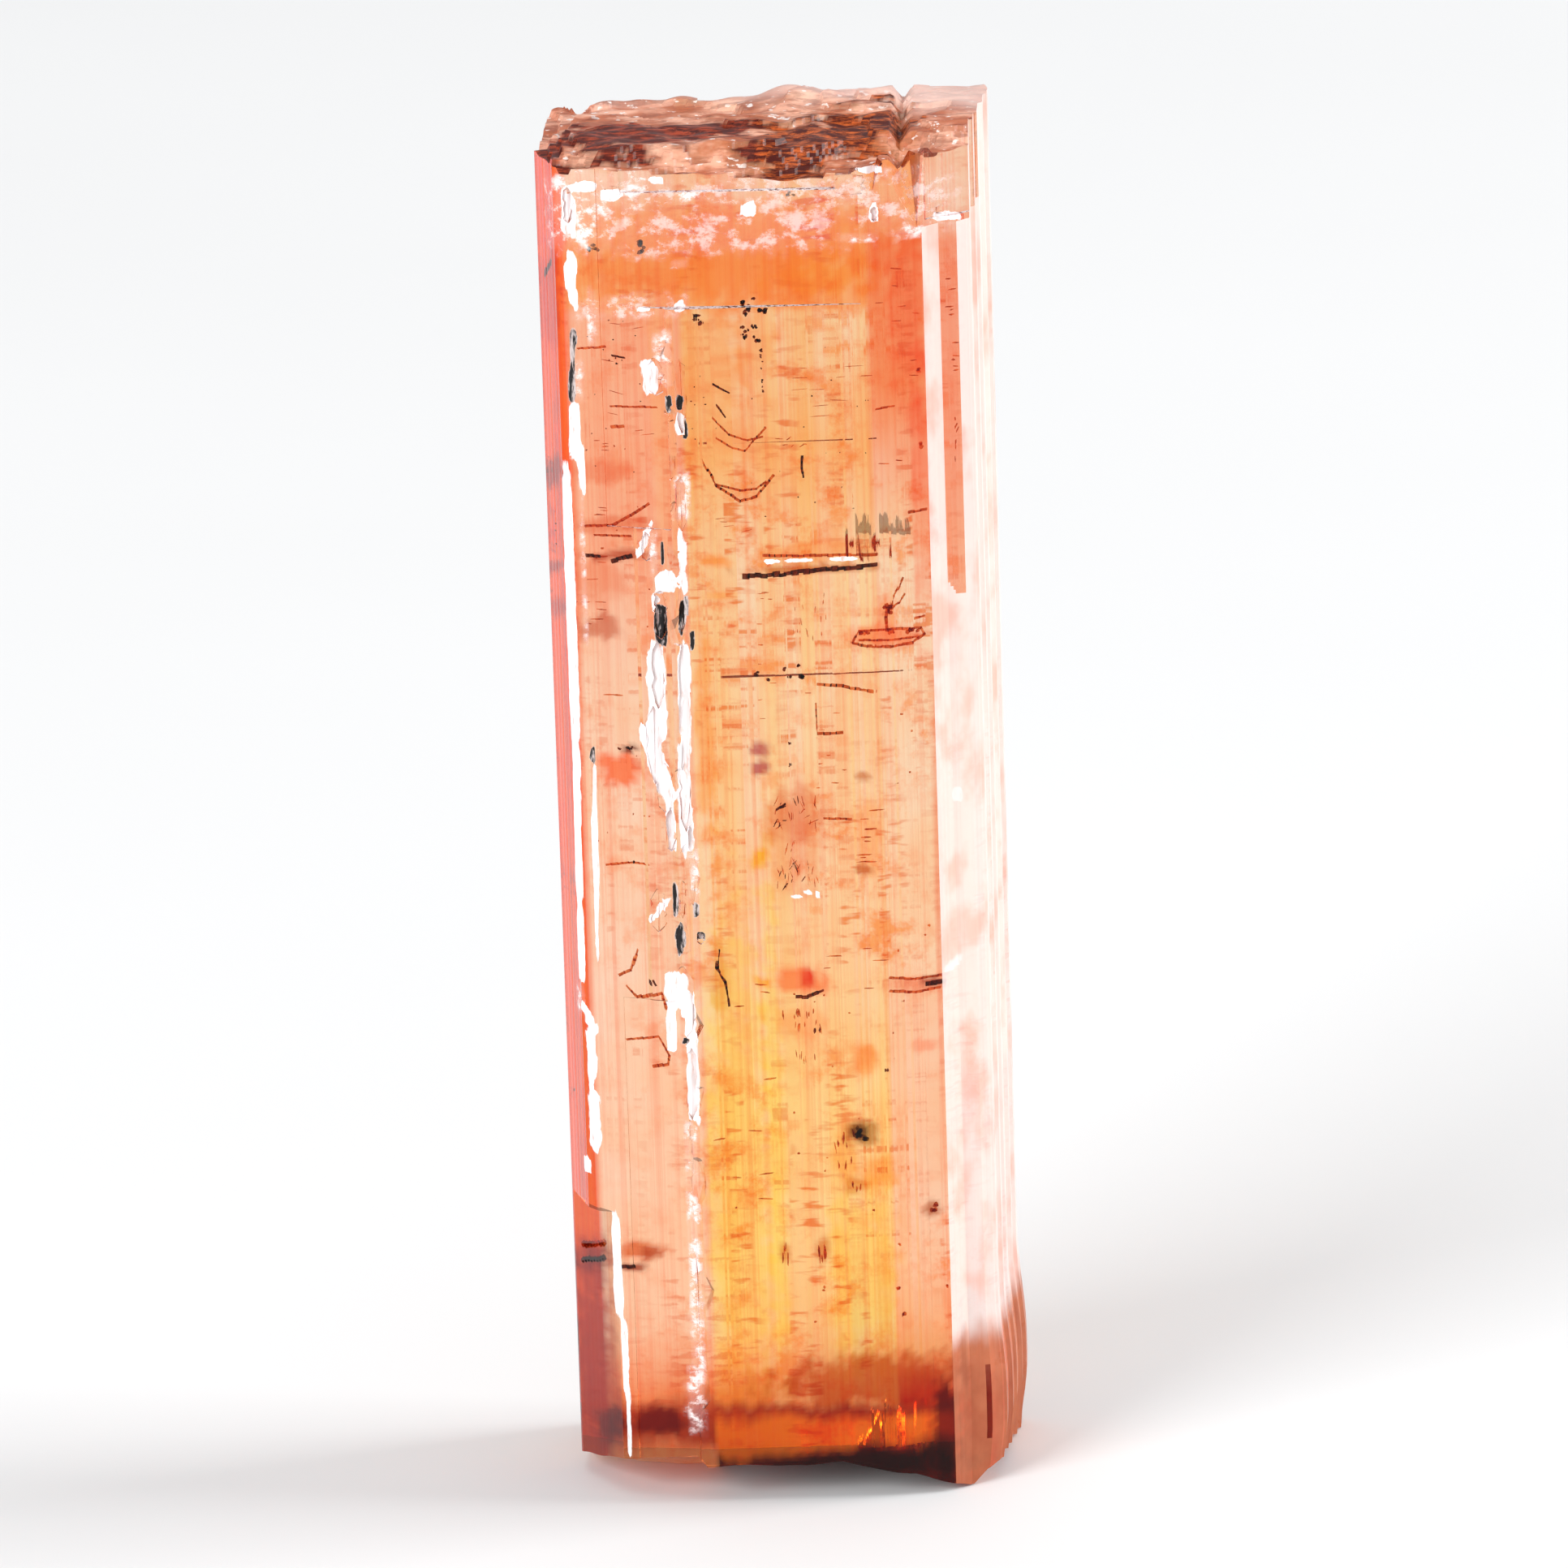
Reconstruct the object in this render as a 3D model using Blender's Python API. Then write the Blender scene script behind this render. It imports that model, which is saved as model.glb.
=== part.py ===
"""A natural topaz crystal, broken across at both ends and standing on its cleaved base.

It is one solid: a striated prism of orthorhombic topaz. Its long axis is Z, its broad front
face looks along -Y, and its origin is on the resting plane under the middle of its box.
"""
import math

import bmesh
import bpy
from mathutils import Matrix, Vector, noise

MM = 0.001

# Overall size of the crystal
HEIGHT = 46.4 * MM
WIDTH = 15.0 * MM
DEPTH = 8.5 * MM

# Ratio of the a axis to the b axis of topaz, which fixes every angle between its prism faces
AXIAL_RATIO = 0.528

# Indices (h, k) of the prism faces {h k 0}, in order round the crystal
LEFT = (1, -2)
LEFT_FRONT = (1, -1)
LEFT_BEVEL = (1, 0)
FRONT_LEFT = (1, 1)
FRONT = (1, 2)
FRONT_RIGHT = (1, 3)
RIGHT_BEVEL = (0, 1)
RIGHT = (-1, 2)
RIGHT_BACK = (-1, 1)
BACK_RIGHT = (-1, -1)
BACK = (-1, -2)
BACK_LEFT = (-1, -3)
BACK_BEVEL = (0, -1)

# Left end of the broad front face, and the faces met in turn from there, each with its width
# in millimetres. Narrow faces between wider ones are growth steps. Two faces carry no width:
# theirs close the loop.
SECTION_START = Vector((-3.2 * MM, -0.5 * DEPTH))
SECTION_WALK = (
    (FRONT, 6.22), (FRONT_RIGHT, 1.94), (RIGHT_BEVEL, 0.75), (FRONT_RIGHT, 0.6), (RIGHT_BEVEL, 0.6),
    (RIGHT, 1.4), (RIGHT_BEVEL, 0.18), (RIGHT, 1.08), (RIGHT_BEVEL, 0.14), (RIGHT, 1.2),
    (RIGHT_BEVEL, 0.2), (RIGHT, 0.7), (RIGHT_BEVEL, 0.17), (RIGHT, 0.95),
    (RIGHT_BACK, 0.45),
    (BACK_RIGHT, 0.9), (BACK, 0.5), (BACK_RIGHT, 0.8), (BACK, 0.7), (BACK_RIGHT, 0.92),
    (BACK, 1.3), (BACK_LEFT, 0.5), (BACK_RIGHT, 0.3), (BACK, 1.1), (BACK_LEFT, 0.4), (BACK_RIGHT, 0.24),
    (BACK, None),
    (BACK_LEFT, 0.7), (BACK, 0.3), (BACK_LEFT, 0.8), (BACK_BEVEL, 0.5),
    (LEFT, 1.3), (BACK_BEVEL, 0.12), (LEFT, 1.55), (BACK_BEVEL, 0.1), (LEFT, 1.25),
    (LEFT_FRONT, None),
    (LEFT_BEVEL, 0.5), (FRONT_LEFT, 2.0), (LEFT_BEVEL, 0.16), (FRONT_LEFT, 0.5),
    (FRONT, 0.35), (LEFT_BEVEL, 0.26), (FRONT, 0.2), (FRONT_LEFT, 0.2),
)

# Growth ledges: where a face lies deeper than in the section. Each is cut square to the face
# named, turned by tilt degrees, and its new plane passes through (x, y). It runs between two
# heights and two sideways limits. Millimetres.
LEDGES = {
    "upper_front": dict(face=FRONT, tilt=-3.0, x=-1.6, y=-3.93, z=(40.9, 48.0), side=(-4.6, 4.5)),
    "top_front": dict(face=FRONT, tilt=-2.0, x=-1.2, y=-3.66, z=(44.7, 48.0), side=(-3.6, 3.4)),
    "corner_lower": dict(face=LEFT_BEVEL, tilt=-14.0, x=-6.07, y=-3.27, z=(-2.0, 9.9), side=(-3.5, 3.5)),
    "corner_middle": dict(face=LEFT_BEVEL, tilt=-6.0, x=-6.62, y=-3.07, z=(9.9, 16.8), side=(-3.5, 3.5)),
    "rib_upper": dict(face=FRONT_LEFT, tilt=0.0, x=-4.4, y=-3.77, z=(33.5, 48.0), side=(-1.2, 1.02)),
    "rib_lower": dict(face=FRONT_LEFT, tilt=0.0, x=-4.4, y=-3.77, z=(-2.0, 17.4), side=(-1.2, 0.95)),
    "right_top": dict(face=RIGHT_BEVEL, tilt=-12.0, x=5.6, y=-3.2, z=(43.5, 48.0), side=(-0.75, 2.0)),
    "back_upper": dict(face=BACK, tilt=1.5, x=0.0, y=4.0, z=(27.0, 48.0), side=(-3.4, 1.9)),
    "back_middle": dict(face=BACK, tilt=-1.0, x=1.0, y=3.92, z=(35.0, 48.0), side=(-1.5, 3.2)),
    "back_lower": dict(face=BACK_RIGHT, tilt=0.0, x=5.0, y=3.78, z=(-2.0, 13.0), side=(-3.0, 3.0)),
    "left_upper": dict(face=LEFT, tilt=0.0, x=-7.3, y=0.8, z=(31.0, 48.0), side=(-3.0, 1.3)),
}
LEDGE_REACH = 4.0 * MM

# Angular pieces broken off the edges: the corners of what is missing, in millimetres
BREAKS = {
    "top_groove": ((2.7, -4.9, 46.8), (5.5, -4.4, 46.8), (4.5, -2.3, 46.8), (4.2, -4.2, 44.0),
                   (4.8, -4.1, 42.9)),
    "top_facet": ((2.2, -4.8, 46.9), (4.3, -4.9, 46.9), (3.7, -2.9, 46.7), (3.3, -4.4, 44.2)),
    "top_left_corner": ((-8.3, -2.2, 46.8), (-6.3, -3.9, 46.8), (-7.0, -1.6, 46.4), (-7.3, -2.3, 44.4)),
    "top_back_left": ((-7.6, 4.6, 47.0), (-4.4, 4.9, 47.0), (-6.0, 3.0, 46.6), (-6.3, 4.3, 43.6)),
    "back_edge": ((1.6, 4.9, 30.6), (3.4, 4.8, 33.4), (2.6, 3.6, 31.9), (3.0, 4.9, 28.8), (4.6, 4.6, 31.4)),
    "right_edge": ((8.0, 2.4, 34.6), (7.9, 3.6, 36.0), (7.0, 3.0, 34.4), (7.9, 3.3, 31.7)),
    "base_back": ((0.6, 5.0, -0.4), (4.6, 5.0, -0.4), (2.4, 3.3, -0.6), (2.8, 4.5, 2.3)),
    "base_left": ((-8.2, 1.2, -0.4), (-8.0, 3.9, -0.4), (-6.6, 2.5, -0.5), (-7.7, 2.5, 2.0)),
}

# Chips along the ragged edge at the left of the broad front face: height and half length
RAGGED_CHIPS = (
    (39.3, 1.0), (37.4, 0.7), (35.7, 0.8), (34.1, 0.6), (32.2, 1.1), (30.1, 0.8), (27.2, 1.4),
    (24.9, 0.8), (21.7, 1.5), (19.6, 0.8), (16.6, 1.2), (13.9, 0.8), (11.2, 1.4), (7.4, 1.0), (4.1, 1.2),
)
RAGGED_CENTRE = Vector((-3.42, -4.5))
RAGGED_RADII = Vector((0.44, 0.42))
RAGGED_SWAY = 0.14
RAGGED_SWAY_RATE = 7.0
CHIP_UNEVENNESS = 0.45
CHIP_LUMPS = 1.7

# Broken top: the height of its front shelf, the rise behind the shelf's edge and how far back the
# rise goes on, and where that edge lies at the left and how far back it bends towards the right
TOP_FRONT = 45.3 * MM
TOP_RISE = 0.55 * MM
TOP_RISE_RUN = 0.55 * MM
SHELF_EDGE = -3.3 * MM
SHELF_BEND = 0.9 * MM
SHELF_BEND_SPAN = (0.2 * MM, 3.6 * MM)

# The top climbs a little to the right and falls at the left, in thin terraces with one low peak
TOP_RIGHT_RISE = 0.25 * MM
TOP_RIGHT_SPAN = (1.6 * MM, 4.4 * MM)
TOP_LEFT_FALL = 0.35 * MM
TOP_LEFT_SPAN = (6.1 * MM, 7.3 * MM)
TOP_TERRACE = 0.19 * MM
TOP_PEAK = 0.5 * MM
TOP_PEAK_PLACE = Vector((0.9, 3.6)) * MM
TOP_PEAK_SPREAD = 1.1 * MM

# The notch that parts the top's right-hand block from the rest
NOTCH_X = 4.6 * MM
NOTCH_LEAN = 0.05
NOTCH_HALF_WIDTH = 0.34 * MM
NOTCH_DEPTH = 0.45 * MM

# Unevenness of the breaks: its height, how much longer its lumps are along X, and their size
SHELF_WANDER = dict(height=0.5 * MM, stretch=1.0, size=1.4 * MM, seed=2.3)
TOP_SWELLS = dict(height=0.45 * MM, stretch=2.2, size=2.3 * MM, seed=3.7)
TOP_GRAIN = dict(height=0.15 * MM, stretch=1.8, size=0.6 * MM, seed=9.1)
BASE_GRAIN = dict(height=0.09 * MM, stretch=1.5, size=0.8 * MM, seed=5.3)

# Broken base: the lift of its front edge above the resting plane at some places along X, and how
# far behind the front the break runs out there, in millimetres. It falls off in a curve to just
# below the resting plane.
BASE_LIFT = ((-7.6, 1.35), (-6.2, 1.45), (-3.6, 1.62), (-3.3, 1.28), (0.0, 1.23), (1.2, 1.35),
             (2.4, 1.03), (3.6, 0.77), (4.9, 0.3), (5.5, 0.05), (6.0, 0.6), (6.5, 0.9), (7.6, 0.8))
BASE_RUN_OUT = ((-7.6, 6.2), (-5.6, 4.2), (-4.0, 3.9), (5.2, 3.9), (5.9, 6.0), (7.6, 6.0))
BASE_CURVE = 1.5
BASE_SINK = 0.08 * MM

# The lower right side swells out: how far, and the heights between which it rises and fades
SWELL = 0.24 * MM
SWELL_FOOT = 2.2 * MM
SWELL_CROWN = (3.2 * MM, 6.6 * MM)
SWELL_SIDE = (5.0 * MM, 6.9 * MM)
SWELL_LEVELS = 14

# Size of the cells of the broken ends, how far cutters reach past the crystal, and how close two
# points of the outline must be to become one
BREAK_CELL = 0.27 * MM
MARGIN = 1.0 * MM
CUTTER_REACH = 3.0 * MARGIN
MERGE_DISTANCE = 0.001 * MM

# Look of the crystal
TOPAZ_COLOUR = (0.95, 0.5, 0.3, 1.0)
TOPAZ_ROUGHNESS = 0.08
TOPAZ_IOR = 1.62


def turn_of(face):
    """Angle of a face's normal from -Y, positive towards +X."""
    def pole(indices):
        return math.atan2(indices[1] * AXIAL_RATIO, indices[0])
    return pole(face) - pole(FRONT)


def tangent_of(face):
    turn = turn_of(face)
    return Vector((math.cos(turn), math.sin(turn)))


def section_outline():
    """Corners of the cross-section, walked counter-clockwise from SECTION_START."""
    known = Vector((0.0, 0.0))
    for face, width in SECTION_WALK:
        if width is not None:
            known += tangent_of(face) * width * MM
    first, second = [tangent_of(face) for face, width in SECTION_WALK if width is None]
    spread = first.x * second.y - first.y * second.x
    closing = [(known.y * second.x - known.x * second.y) / spread,
               (known.x * first.y - known.y * first.x) / spread]
    corners = [SECTION_START.copy()]
    for face, width in SECTION_WALK[:-1]:
        length = closing.pop(0) if width is None else width * MM
        corners.append(corners[-1] + tangent_of(face) * length)
    return corners


def smooth_step(value, low, high):
    t = min(max((value - low) / (high - low), 0.0), 1.0)
    return t * t * (3.0 - 2.0 * t)


def along(table, value):
    """Straight-line reading of a table of (place, amount) pairs."""
    for (place_a, amount_a), (place_b, amount_b) in zip(table, table[1:]):
        if value <= place_b:
            t = max(value - place_a, 0.0) / (place_b - place_a)
            return amount_a + (amount_b - amount_a) * t
    return table[-1][1]


def rough(x, y, height, stretch, size, seed):
    """Noise up to about the given height either way, its lumps drawn out along X."""
    return height * noise.noise(Vector((x / (size * stretch), y / size, seed)))


def top_height(x, y):
    """Broken top: a low front shelf, thin cleavage terraces drawn out sideways, a peak and a notch."""
    shelf_edge = SHELF_EDGE + SHELF_BEND * smooth_step(x, *SHELF_BEND_SPAN) + rough(x, 0.0, **SHELF_WANDER)
    rise = TOP_RISE * smooth_step(y, shelf_edge, shelf_edge + TOP_RISE_RUN)
    rise += TOP_RIGHT_RISE * smooth_step(x, *TOP_RIGHT_SPAN)
    rise -= TOP_LEFT_FALL * smooth_step(-x, *TOP_LEFT_SPAN)
    smooth_level = TOP_FRONT + rise + rough(x, y, **TOP_SWELLS)
    level = round(smooth_level / TOP_TERRACE) * TOP_TERRACE
    peak = TOP_PEAK * math.exp(-((Vector((x, y)) - TOP_PEAK_PLACE).length / TOP_PEAK_SPREAD) ** 2)
    notch_line = NOTCH_X + NOTCH_LEAN * (y - 0.5 * DEPTH)
    notch = NOTCH_DEPTH * max(0.0, 1.0 - abs(x - notch_line) / NOTCH_HALF_WIDTH)
    return level + rough(x, y, **TOP_GRAIN) + peak - notch


def base_height(x, y):
    """Broken base: below zero where the crystal rests on its cleavage, above it where it is chipped."""
    lift = along(BASE_LIFT, x / MM) * MM
    behind_front = max(y + 0.5 * DEPTH, 0.0) / (along(BASE_RUN_OUT, x / MM) * MM)
    return lift * (1.0 - behind_front ** BASE_CURVE) - BASE_SINK + rough(x, y, **BASE_GRAIN)


def swell_at(x, z):
    """How far the lower right side stands out at a point."""
    foot = smooth_step(z, 0.0, SWELL_FOOT)
    crown = 1.0 - smooth_step(z, *SWELL_CROWN)
    return SWELL * foot * crown * smooth_step(x, *SWELL_SIDE)


def in_collection(name):
    collection = bpy.data.collections.new(name)
    bpy.context.scene.collection.children.link(collection)
    return collection


def add_object(name, shape, collection):
    """A new object from a bmesh, which is freed, or from a mesh or curve."""
    if isinstance(shape, bmesh.types.BMesh):
        mesh = bpy.data.meshes.new(name)
        shape.to_mesh(mesh)
        shape.free()
        shape = mesh
    made = bpy.data.objects.new(name, shape)
    collection.objects.link(made)
    return made


def prism(name, collection):
    """The section as a flat curve, drawn out to the full height, with its lower right side swollen."""
    corners = section_outline()
    curve = bpy.data.curves.new(name, "CURVE")
    curve.dimensions = "2D"
    curve.fill_mode = "BOTH"
    curve.extrude = 0.5 * HEIGHT + MARGIN
    spline = curve.splines.new("POLY")
    spline.points.add(len(corners) - 1)
    for point, corner in zip(spline.points, corners):
        point.co = (corner.x, corner.y, 0.0, 1.0)
    spline.use_cyclic_u = True
    outline = add_object(name + "_outline", curve, collection)
    mesh = bpy.data.meshes.new_from_object(outline.evaluated_get(bpy.context.evaluated_depsgraph_get()))
    bpy.data.objects.remove(outline)

    shape = bmesh.new()
    shape.from_mesh(mesh)
    bmesh.ops.remove_doubles(shape, verts=shape.verts, dist=MERGE_DISTANCE)
    bmesh.ops.recalc_face_normals(shape, faces=shape.faces)
    bmesh.ops.translate(shape, verts=shape.verts, vec=(0.0, 0.0, 0.5 * HEIGHT))
    for level in range(SWELL_LEVELS + 1):
        height = SWELL_CROWN[1] * level / SWELL_LEVELS
        everything = shape.verts[:] + shape.edges[:] + shape.faces[:]
        bmesh.ops.bisect_plane(shape, geom=everything, plane_co=(0.0, 0.0, height), plane_no=(0.0, 0.0, 1.0))
    for vert in shape.verts:
        vert.co.x += swell_at(vert.co.x, vert.co.z)
    shape.to_mesh(mesh)
    shape.free()
    return add_object(name, mesh, collection)


def break_block(name, height_at, far_z, collection):
    """A block with one broken face at the given heights and one flat face at far_z."""
    span_x = WIDTH + 2.0 * MARGIN
    span_y = DEPTH + 2.0 * MARGIN
    shape = bmesh.new()
    cells = [round(span / BREAK_CELL) for span in (span_x, span_y)]
    bmesh.ops.create_grid(shape, x_segments=cells[0], y_segments=cells[1], size=0.5)
    bmesh.ops.scale(shape, verts=shape.verts, vec=(span_x, span_y, 1.0))
    for vert in shape.verts:
        vert.co.z = height_at(vert.co.x, vert.co.y)
    for swept in bmesh.ops.extrude_face_region(shape, geom=shape.faces[:])["geom"]:
        if isinstance(swept, bmesh.types.BMVert):
            swept.co.z = far_z
    bmesh.ops.recalc_face_normals(shape, faces=shape.faces)
    return add_object(name, shape, collection)


def box(name, low, high, collection):
    """A box between two corners."""
    shape = bmesh.new()
    bmesh.ops.create_cube(shape, size=1.0)
    bmesh.ops.scale(shape, verts=shape.verts, vec=[b - a for a, b in zip(low, high)])
    bmesh.ops.translate(shape, verts=shape.verts, vec=[0.5 * (a + b) for a, b in zip(low, high)])
    return add_object(name, shape, collection)


def ledge_block(name, face, tilt, x, y, z, side, collection):
    """A box whose inner side is the deeper plane of a growth ledge."""
    low = (side[0] * MM, -LEDGE_REACH, z[0] * MM)
    high = (side[1] * MM, 0.0, z[1] * MM)
    made = box(name, low, high, collection)
    turn = turn_of(face) + math.radians(tilt)
    made.matrix_world = Matrix.Translation((x * MM, y * MM, 0.0)) @ Matrix.Rotation(turn, 4, "Z")
    return made


def broken_piece(name, corners, collection):
    """The smallest convex body that holds the corners of a missing piece."""
    shape = bmesh.new()
    for corner in corners:
        shape.verts.new(Vector(corner) * MM)
    bmesh.ops.convex_hull(shape, input=shape.verts)
    bmesh.ops.recalc_face_normals(shape, faces=shape.faces)
    return add_object(name, shape, collection)


def chip(name, centre, radii, collection):
    """A small angular lump, for the chips of the ragged edge."""
    shape = bmesh.new()
    bmesh.ops.create_icosphere(shape, subdivisions=2, radius=1.0)
    for vert in shape.verts:
        vert.co *= 1.0 + CHIP_UNEVENNESS * noise.noise(vert.co * CHIP_LUMPS + centre / MM)
    bmesh.ops.scale(shape, verts=shape.verts, vec=radii)
    made = add_object(name, shape, collection)
    made.location = centre
    return made


def cut(target, tool):
    """Take a tool's shape out of the crystal."""
    modifier = target.modifiers.new(tool.name, "BOOLEAN")
    modifier.operation = "DIFFERENCE"
    modifier.solver = "EXACT"
    modifier.object = tool
    tool.hide_render = True
    tool.display_type = "WIRE"


def topaz_material():
    material = bpy.data.materials.new("topaz")
    material.use_nodes = True
    shader = material.node_tree.nodes["Principled BSDF"]
    shader.inputs["Base Color"].default_value = TOPAZ_COLOUR
    shader.inputs["Roughness"].default_value = TOPAZ_ROUGHNESS
    shader.inputs["Metallic"].default_value = 0.0
    shader.inputs["IOR"].default_value = TOPAZ_IOR
    return material


def build():
    for old in list(bpy.data.objects):
        bpy.data.objects.remove(old)
    parts = in_collection("topaz_crystal_parts")
    cutters = in_collection("cutters")

    crystal = prism("topaz_crystal", parts)
    crystal.data.materials.append(topaz_material())

    cut(crystal, box("resting_cut", (-WIDTH, -DEPTH, -CUTTER_REACH), (WIDTH, DEPTH, 0.0), cutters))
    for name, ledge in LEDGES.items():
        cut(crystal, ledge_block(name, collection=cutters, **ledge))
    for number, (height, half_length) in enumerate(RAGGED_CHIPS):
        sway = RAGGED_SWAY * math.sin(RAGGED_SWAY_RATE * height)
        centre = Vector((RAGGED_CENTRE.x + sway, RAGGED_CENTRE.y, height)) * MM
        radii = Vector((RAGGED_RADII.x, RAGGED_RADII.y, half_length)) * MM
        cut(crystal, chip("edge_chip_%02d" % number, centre, radii, cutters))
    for name, corners in BREAKS.items():
        cut(crystal, broken_piece(name, corners, cutters))
    cut(crystal, break_block("top_break", top_height, HEIGHT + CUTTER_REACH, cutters))
    cut(crystal, break_block("base_break", base_height, -2.0 * CUTTER_REACH, cutters))


build()
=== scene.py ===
"""Looks of the topaz crystal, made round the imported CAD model.

The clear crystal is built again from the named values that the CAD source uses, with finer growth
lines, ledges and breaks, and the flaws that show in it are small pieces of their own. Metres, +Z up.
"""
import math
import random

import bmesh
import bpy
import numpy as np
from mathutils import Matrix, Quaternion, Vector, noise


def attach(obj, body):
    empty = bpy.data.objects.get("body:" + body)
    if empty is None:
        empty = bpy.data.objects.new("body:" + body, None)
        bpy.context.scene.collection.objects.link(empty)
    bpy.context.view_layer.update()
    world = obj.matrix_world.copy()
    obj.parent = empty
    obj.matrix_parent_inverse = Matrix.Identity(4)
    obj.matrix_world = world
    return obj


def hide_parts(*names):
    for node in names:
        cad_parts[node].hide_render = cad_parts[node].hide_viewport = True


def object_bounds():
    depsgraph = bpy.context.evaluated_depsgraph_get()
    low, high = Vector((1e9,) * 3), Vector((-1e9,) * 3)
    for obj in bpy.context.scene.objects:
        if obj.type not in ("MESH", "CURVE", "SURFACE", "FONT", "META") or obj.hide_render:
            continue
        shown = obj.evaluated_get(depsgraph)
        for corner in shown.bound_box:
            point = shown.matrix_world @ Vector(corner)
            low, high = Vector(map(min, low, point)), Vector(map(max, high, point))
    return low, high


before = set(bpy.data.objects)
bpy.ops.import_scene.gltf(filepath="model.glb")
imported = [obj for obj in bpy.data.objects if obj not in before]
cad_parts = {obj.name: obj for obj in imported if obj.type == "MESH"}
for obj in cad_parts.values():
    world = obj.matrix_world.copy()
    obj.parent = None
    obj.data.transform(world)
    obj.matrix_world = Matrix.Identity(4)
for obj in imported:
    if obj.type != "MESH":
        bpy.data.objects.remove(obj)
cad_low, cad_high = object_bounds()

MM = 0.001
BODY = "root"
CAD_NODE = "topaz_crystal"

# Overall size of the crystal
HEIGHT = 46.4 * MM
WIDTH = 15.0 * MM
DEPTH = 8.5 * MM

# Ratio of the a axis to the b axis of topaz, which fixes every angle between its prism faces
AXIAL_RATIO = 0.528
TOPAZ_IOR = 1.62
ABSORPTION_COLOUR = (0.984, 0.585, 0.065)
ABSORPTION_DENSITY = 88.0

# Indices (h, k) of the prism faces {h k 0}, in order round the crystal
LEFT = (1, -2)
LEFT_FRONT = (1, -1)
LEFT_BEVEL = (1, 0)
FRONT_LEFT = (1, 1)
FRONT = (1, 2)
FRONT_RIGHT = (1, 3)
RIGHT_BEVEL = (0, 1)
RIGHT = (-1, 2)
RIGHT_BACK = (-1, 1)
BACK_RIGHT = (-1, -1)
BACK = (-1, -2)
BACK_LEFT = (-1, -3)
BACK_BEVEL = (0, -1)

# Left end of the broad front face, and the faces met in turn from there, each with its width
# in millimetres. Narrow faces between wider ones are growth steps. Two faces carry no width:
# theirs close the loop.
SECTION_START = Vector((-3.2 * MM, -0.5 * DEPTH))
SECTION_WALK = (
    (FRONT, 6.22), (FRONT_RIGHT, 1.94), (RIGHT_BEVEL, 0.75), (FRONT_RIGHT, 0.6), (RIGHT_BEVEL, 0.6),
    (RIGHT, 1.4), (RIGHT_BEVEL, 0.18), (RIGHT, 1.08), (RIGHT_BEVEL, 0.14), (RIGHT, 1.2),
    (RIGHT_BEVEL, 0.2), (RIGHT, 0.7), (RIGHT_BEVEL, 0.17), (RIGHT, 0.95),
    (RIGHT_BACK, 0.45),
    (BACK_RIGHT, 0.9), (BACK, 0.5), (BACK_RIGHT, 0.8), (BACK, 0.7), (BACK_RIGHT, 0.92),
    (BACK, 1.3), (BACK_LEFT, 0.5), (BACK_RIGHT, 0.3), (BACK, 1.1), (BACK_LEFT, 0.4), (BACK_RIGHT, 0.24),
    (BACK, None),
    (BACK_LEFT, 0.7), (BACK, 0.3), (BACK_LEFT, 0.8), (BACK_BEVEL, 0.5),
    (LEFT, 1.3), (BACK_BEVEL, 0.12), (LEFT, 1.55), (BACK_BEVEL, 0.1), (LEFT, 1.25),
    (LEFT_FRONT, None),
    (LEFT_BEVEL, 0.5), (FRONT_LEFT, 2.0), (LEFT_BEVEL, 0.16), (FRONT_LEFT, 0.5),
    (FRONT, 0.35), (LEFT_BEVEL, 0.26), (FRONT, 0.2), (FRONT_LEFT, 0.2),
)

# Growth lines: each face is split into strips of about this width, every other line sunk a little
STRIP_WIDTHS = (0.06 * MM, 0.2 * MM)
STRIP_DEPTH = 0.012 * MM
STRIP_SEED = 11

# Growth ledges: where a face lies deeper than in the section. Each is cut square to the face
# named, turned by tilt degrees, and its new plane passes through (x, y). It runs between two
# heights and two sideways limits. Millimetres.
LEDGES = {
    "upper_front": dict(face=FRONT, tilt=-3.0, x=-1.6, y=-3.93, z=(40.9, 48.0), side=(-4.6, 4.5)),
    "top_front": dict(face=FRONT, tilt=-2.0, x=-1.2, y=-3.66, z=(44.7, 48.0), side=(-3.6, 3.4)),
    "corner_lower": dict(face=LEFT_BEVEL, tilt=-14.0, x=-6.07, y=-3.27, z=(-2.0, 9.9), side=(-3.5, 3.5)),
    "corner_middle": dict(face=LEFT_BEVEL, tilt=-6.0, x=-6.62, y=-3.07, z=(9.9, 16.8), side=(-3.5, 3.5)),
    "rib_upper": dict(face=FRONT_LEFT, tilt=0.0, x=-4.4, y=-3.77, z=(33.5, 48.0), side=(-1.2, 1.02)),
    "rib_lower": dict(face=FRONT_LEFT, tilt=0.0, x=-4.4, y=-3.77, z=(-2.0, 17.4), side=(-1.2, 0.95)),
    "right_top": dict(face=RIGHT_BEVEL, tilt=-12.0, x=5.6, y=-3.2, z=(43.5, 48.0), side=(-0.75, 2.0)),
    "back_upper": dict(face=BACK, tilt=1.5, x=0.0, y=4.0, z=(27.0, 48.0), side=(-3.4, 1.9)),
    "back_middle": dict(face=BACK, tilt=-1.0, x=1.0, y=3.92, z=(35.0, 48.0), side=(-1.5, 3.2)),
    "back_lower": dict(face=BACK_RIGHT, tilt=0.0, x=5.0, y=3.78, z=(-2.0, 13.0), side=(-3.0, 3.0)),
    "left_upper": dict(face=LEFT, tilt=0.0, x=-7.3, y=0.8, z=(31.0, 48.0), side=(-3.0, 1.3)),
}
LEDGE_REACH = 4.0 * MM

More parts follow.
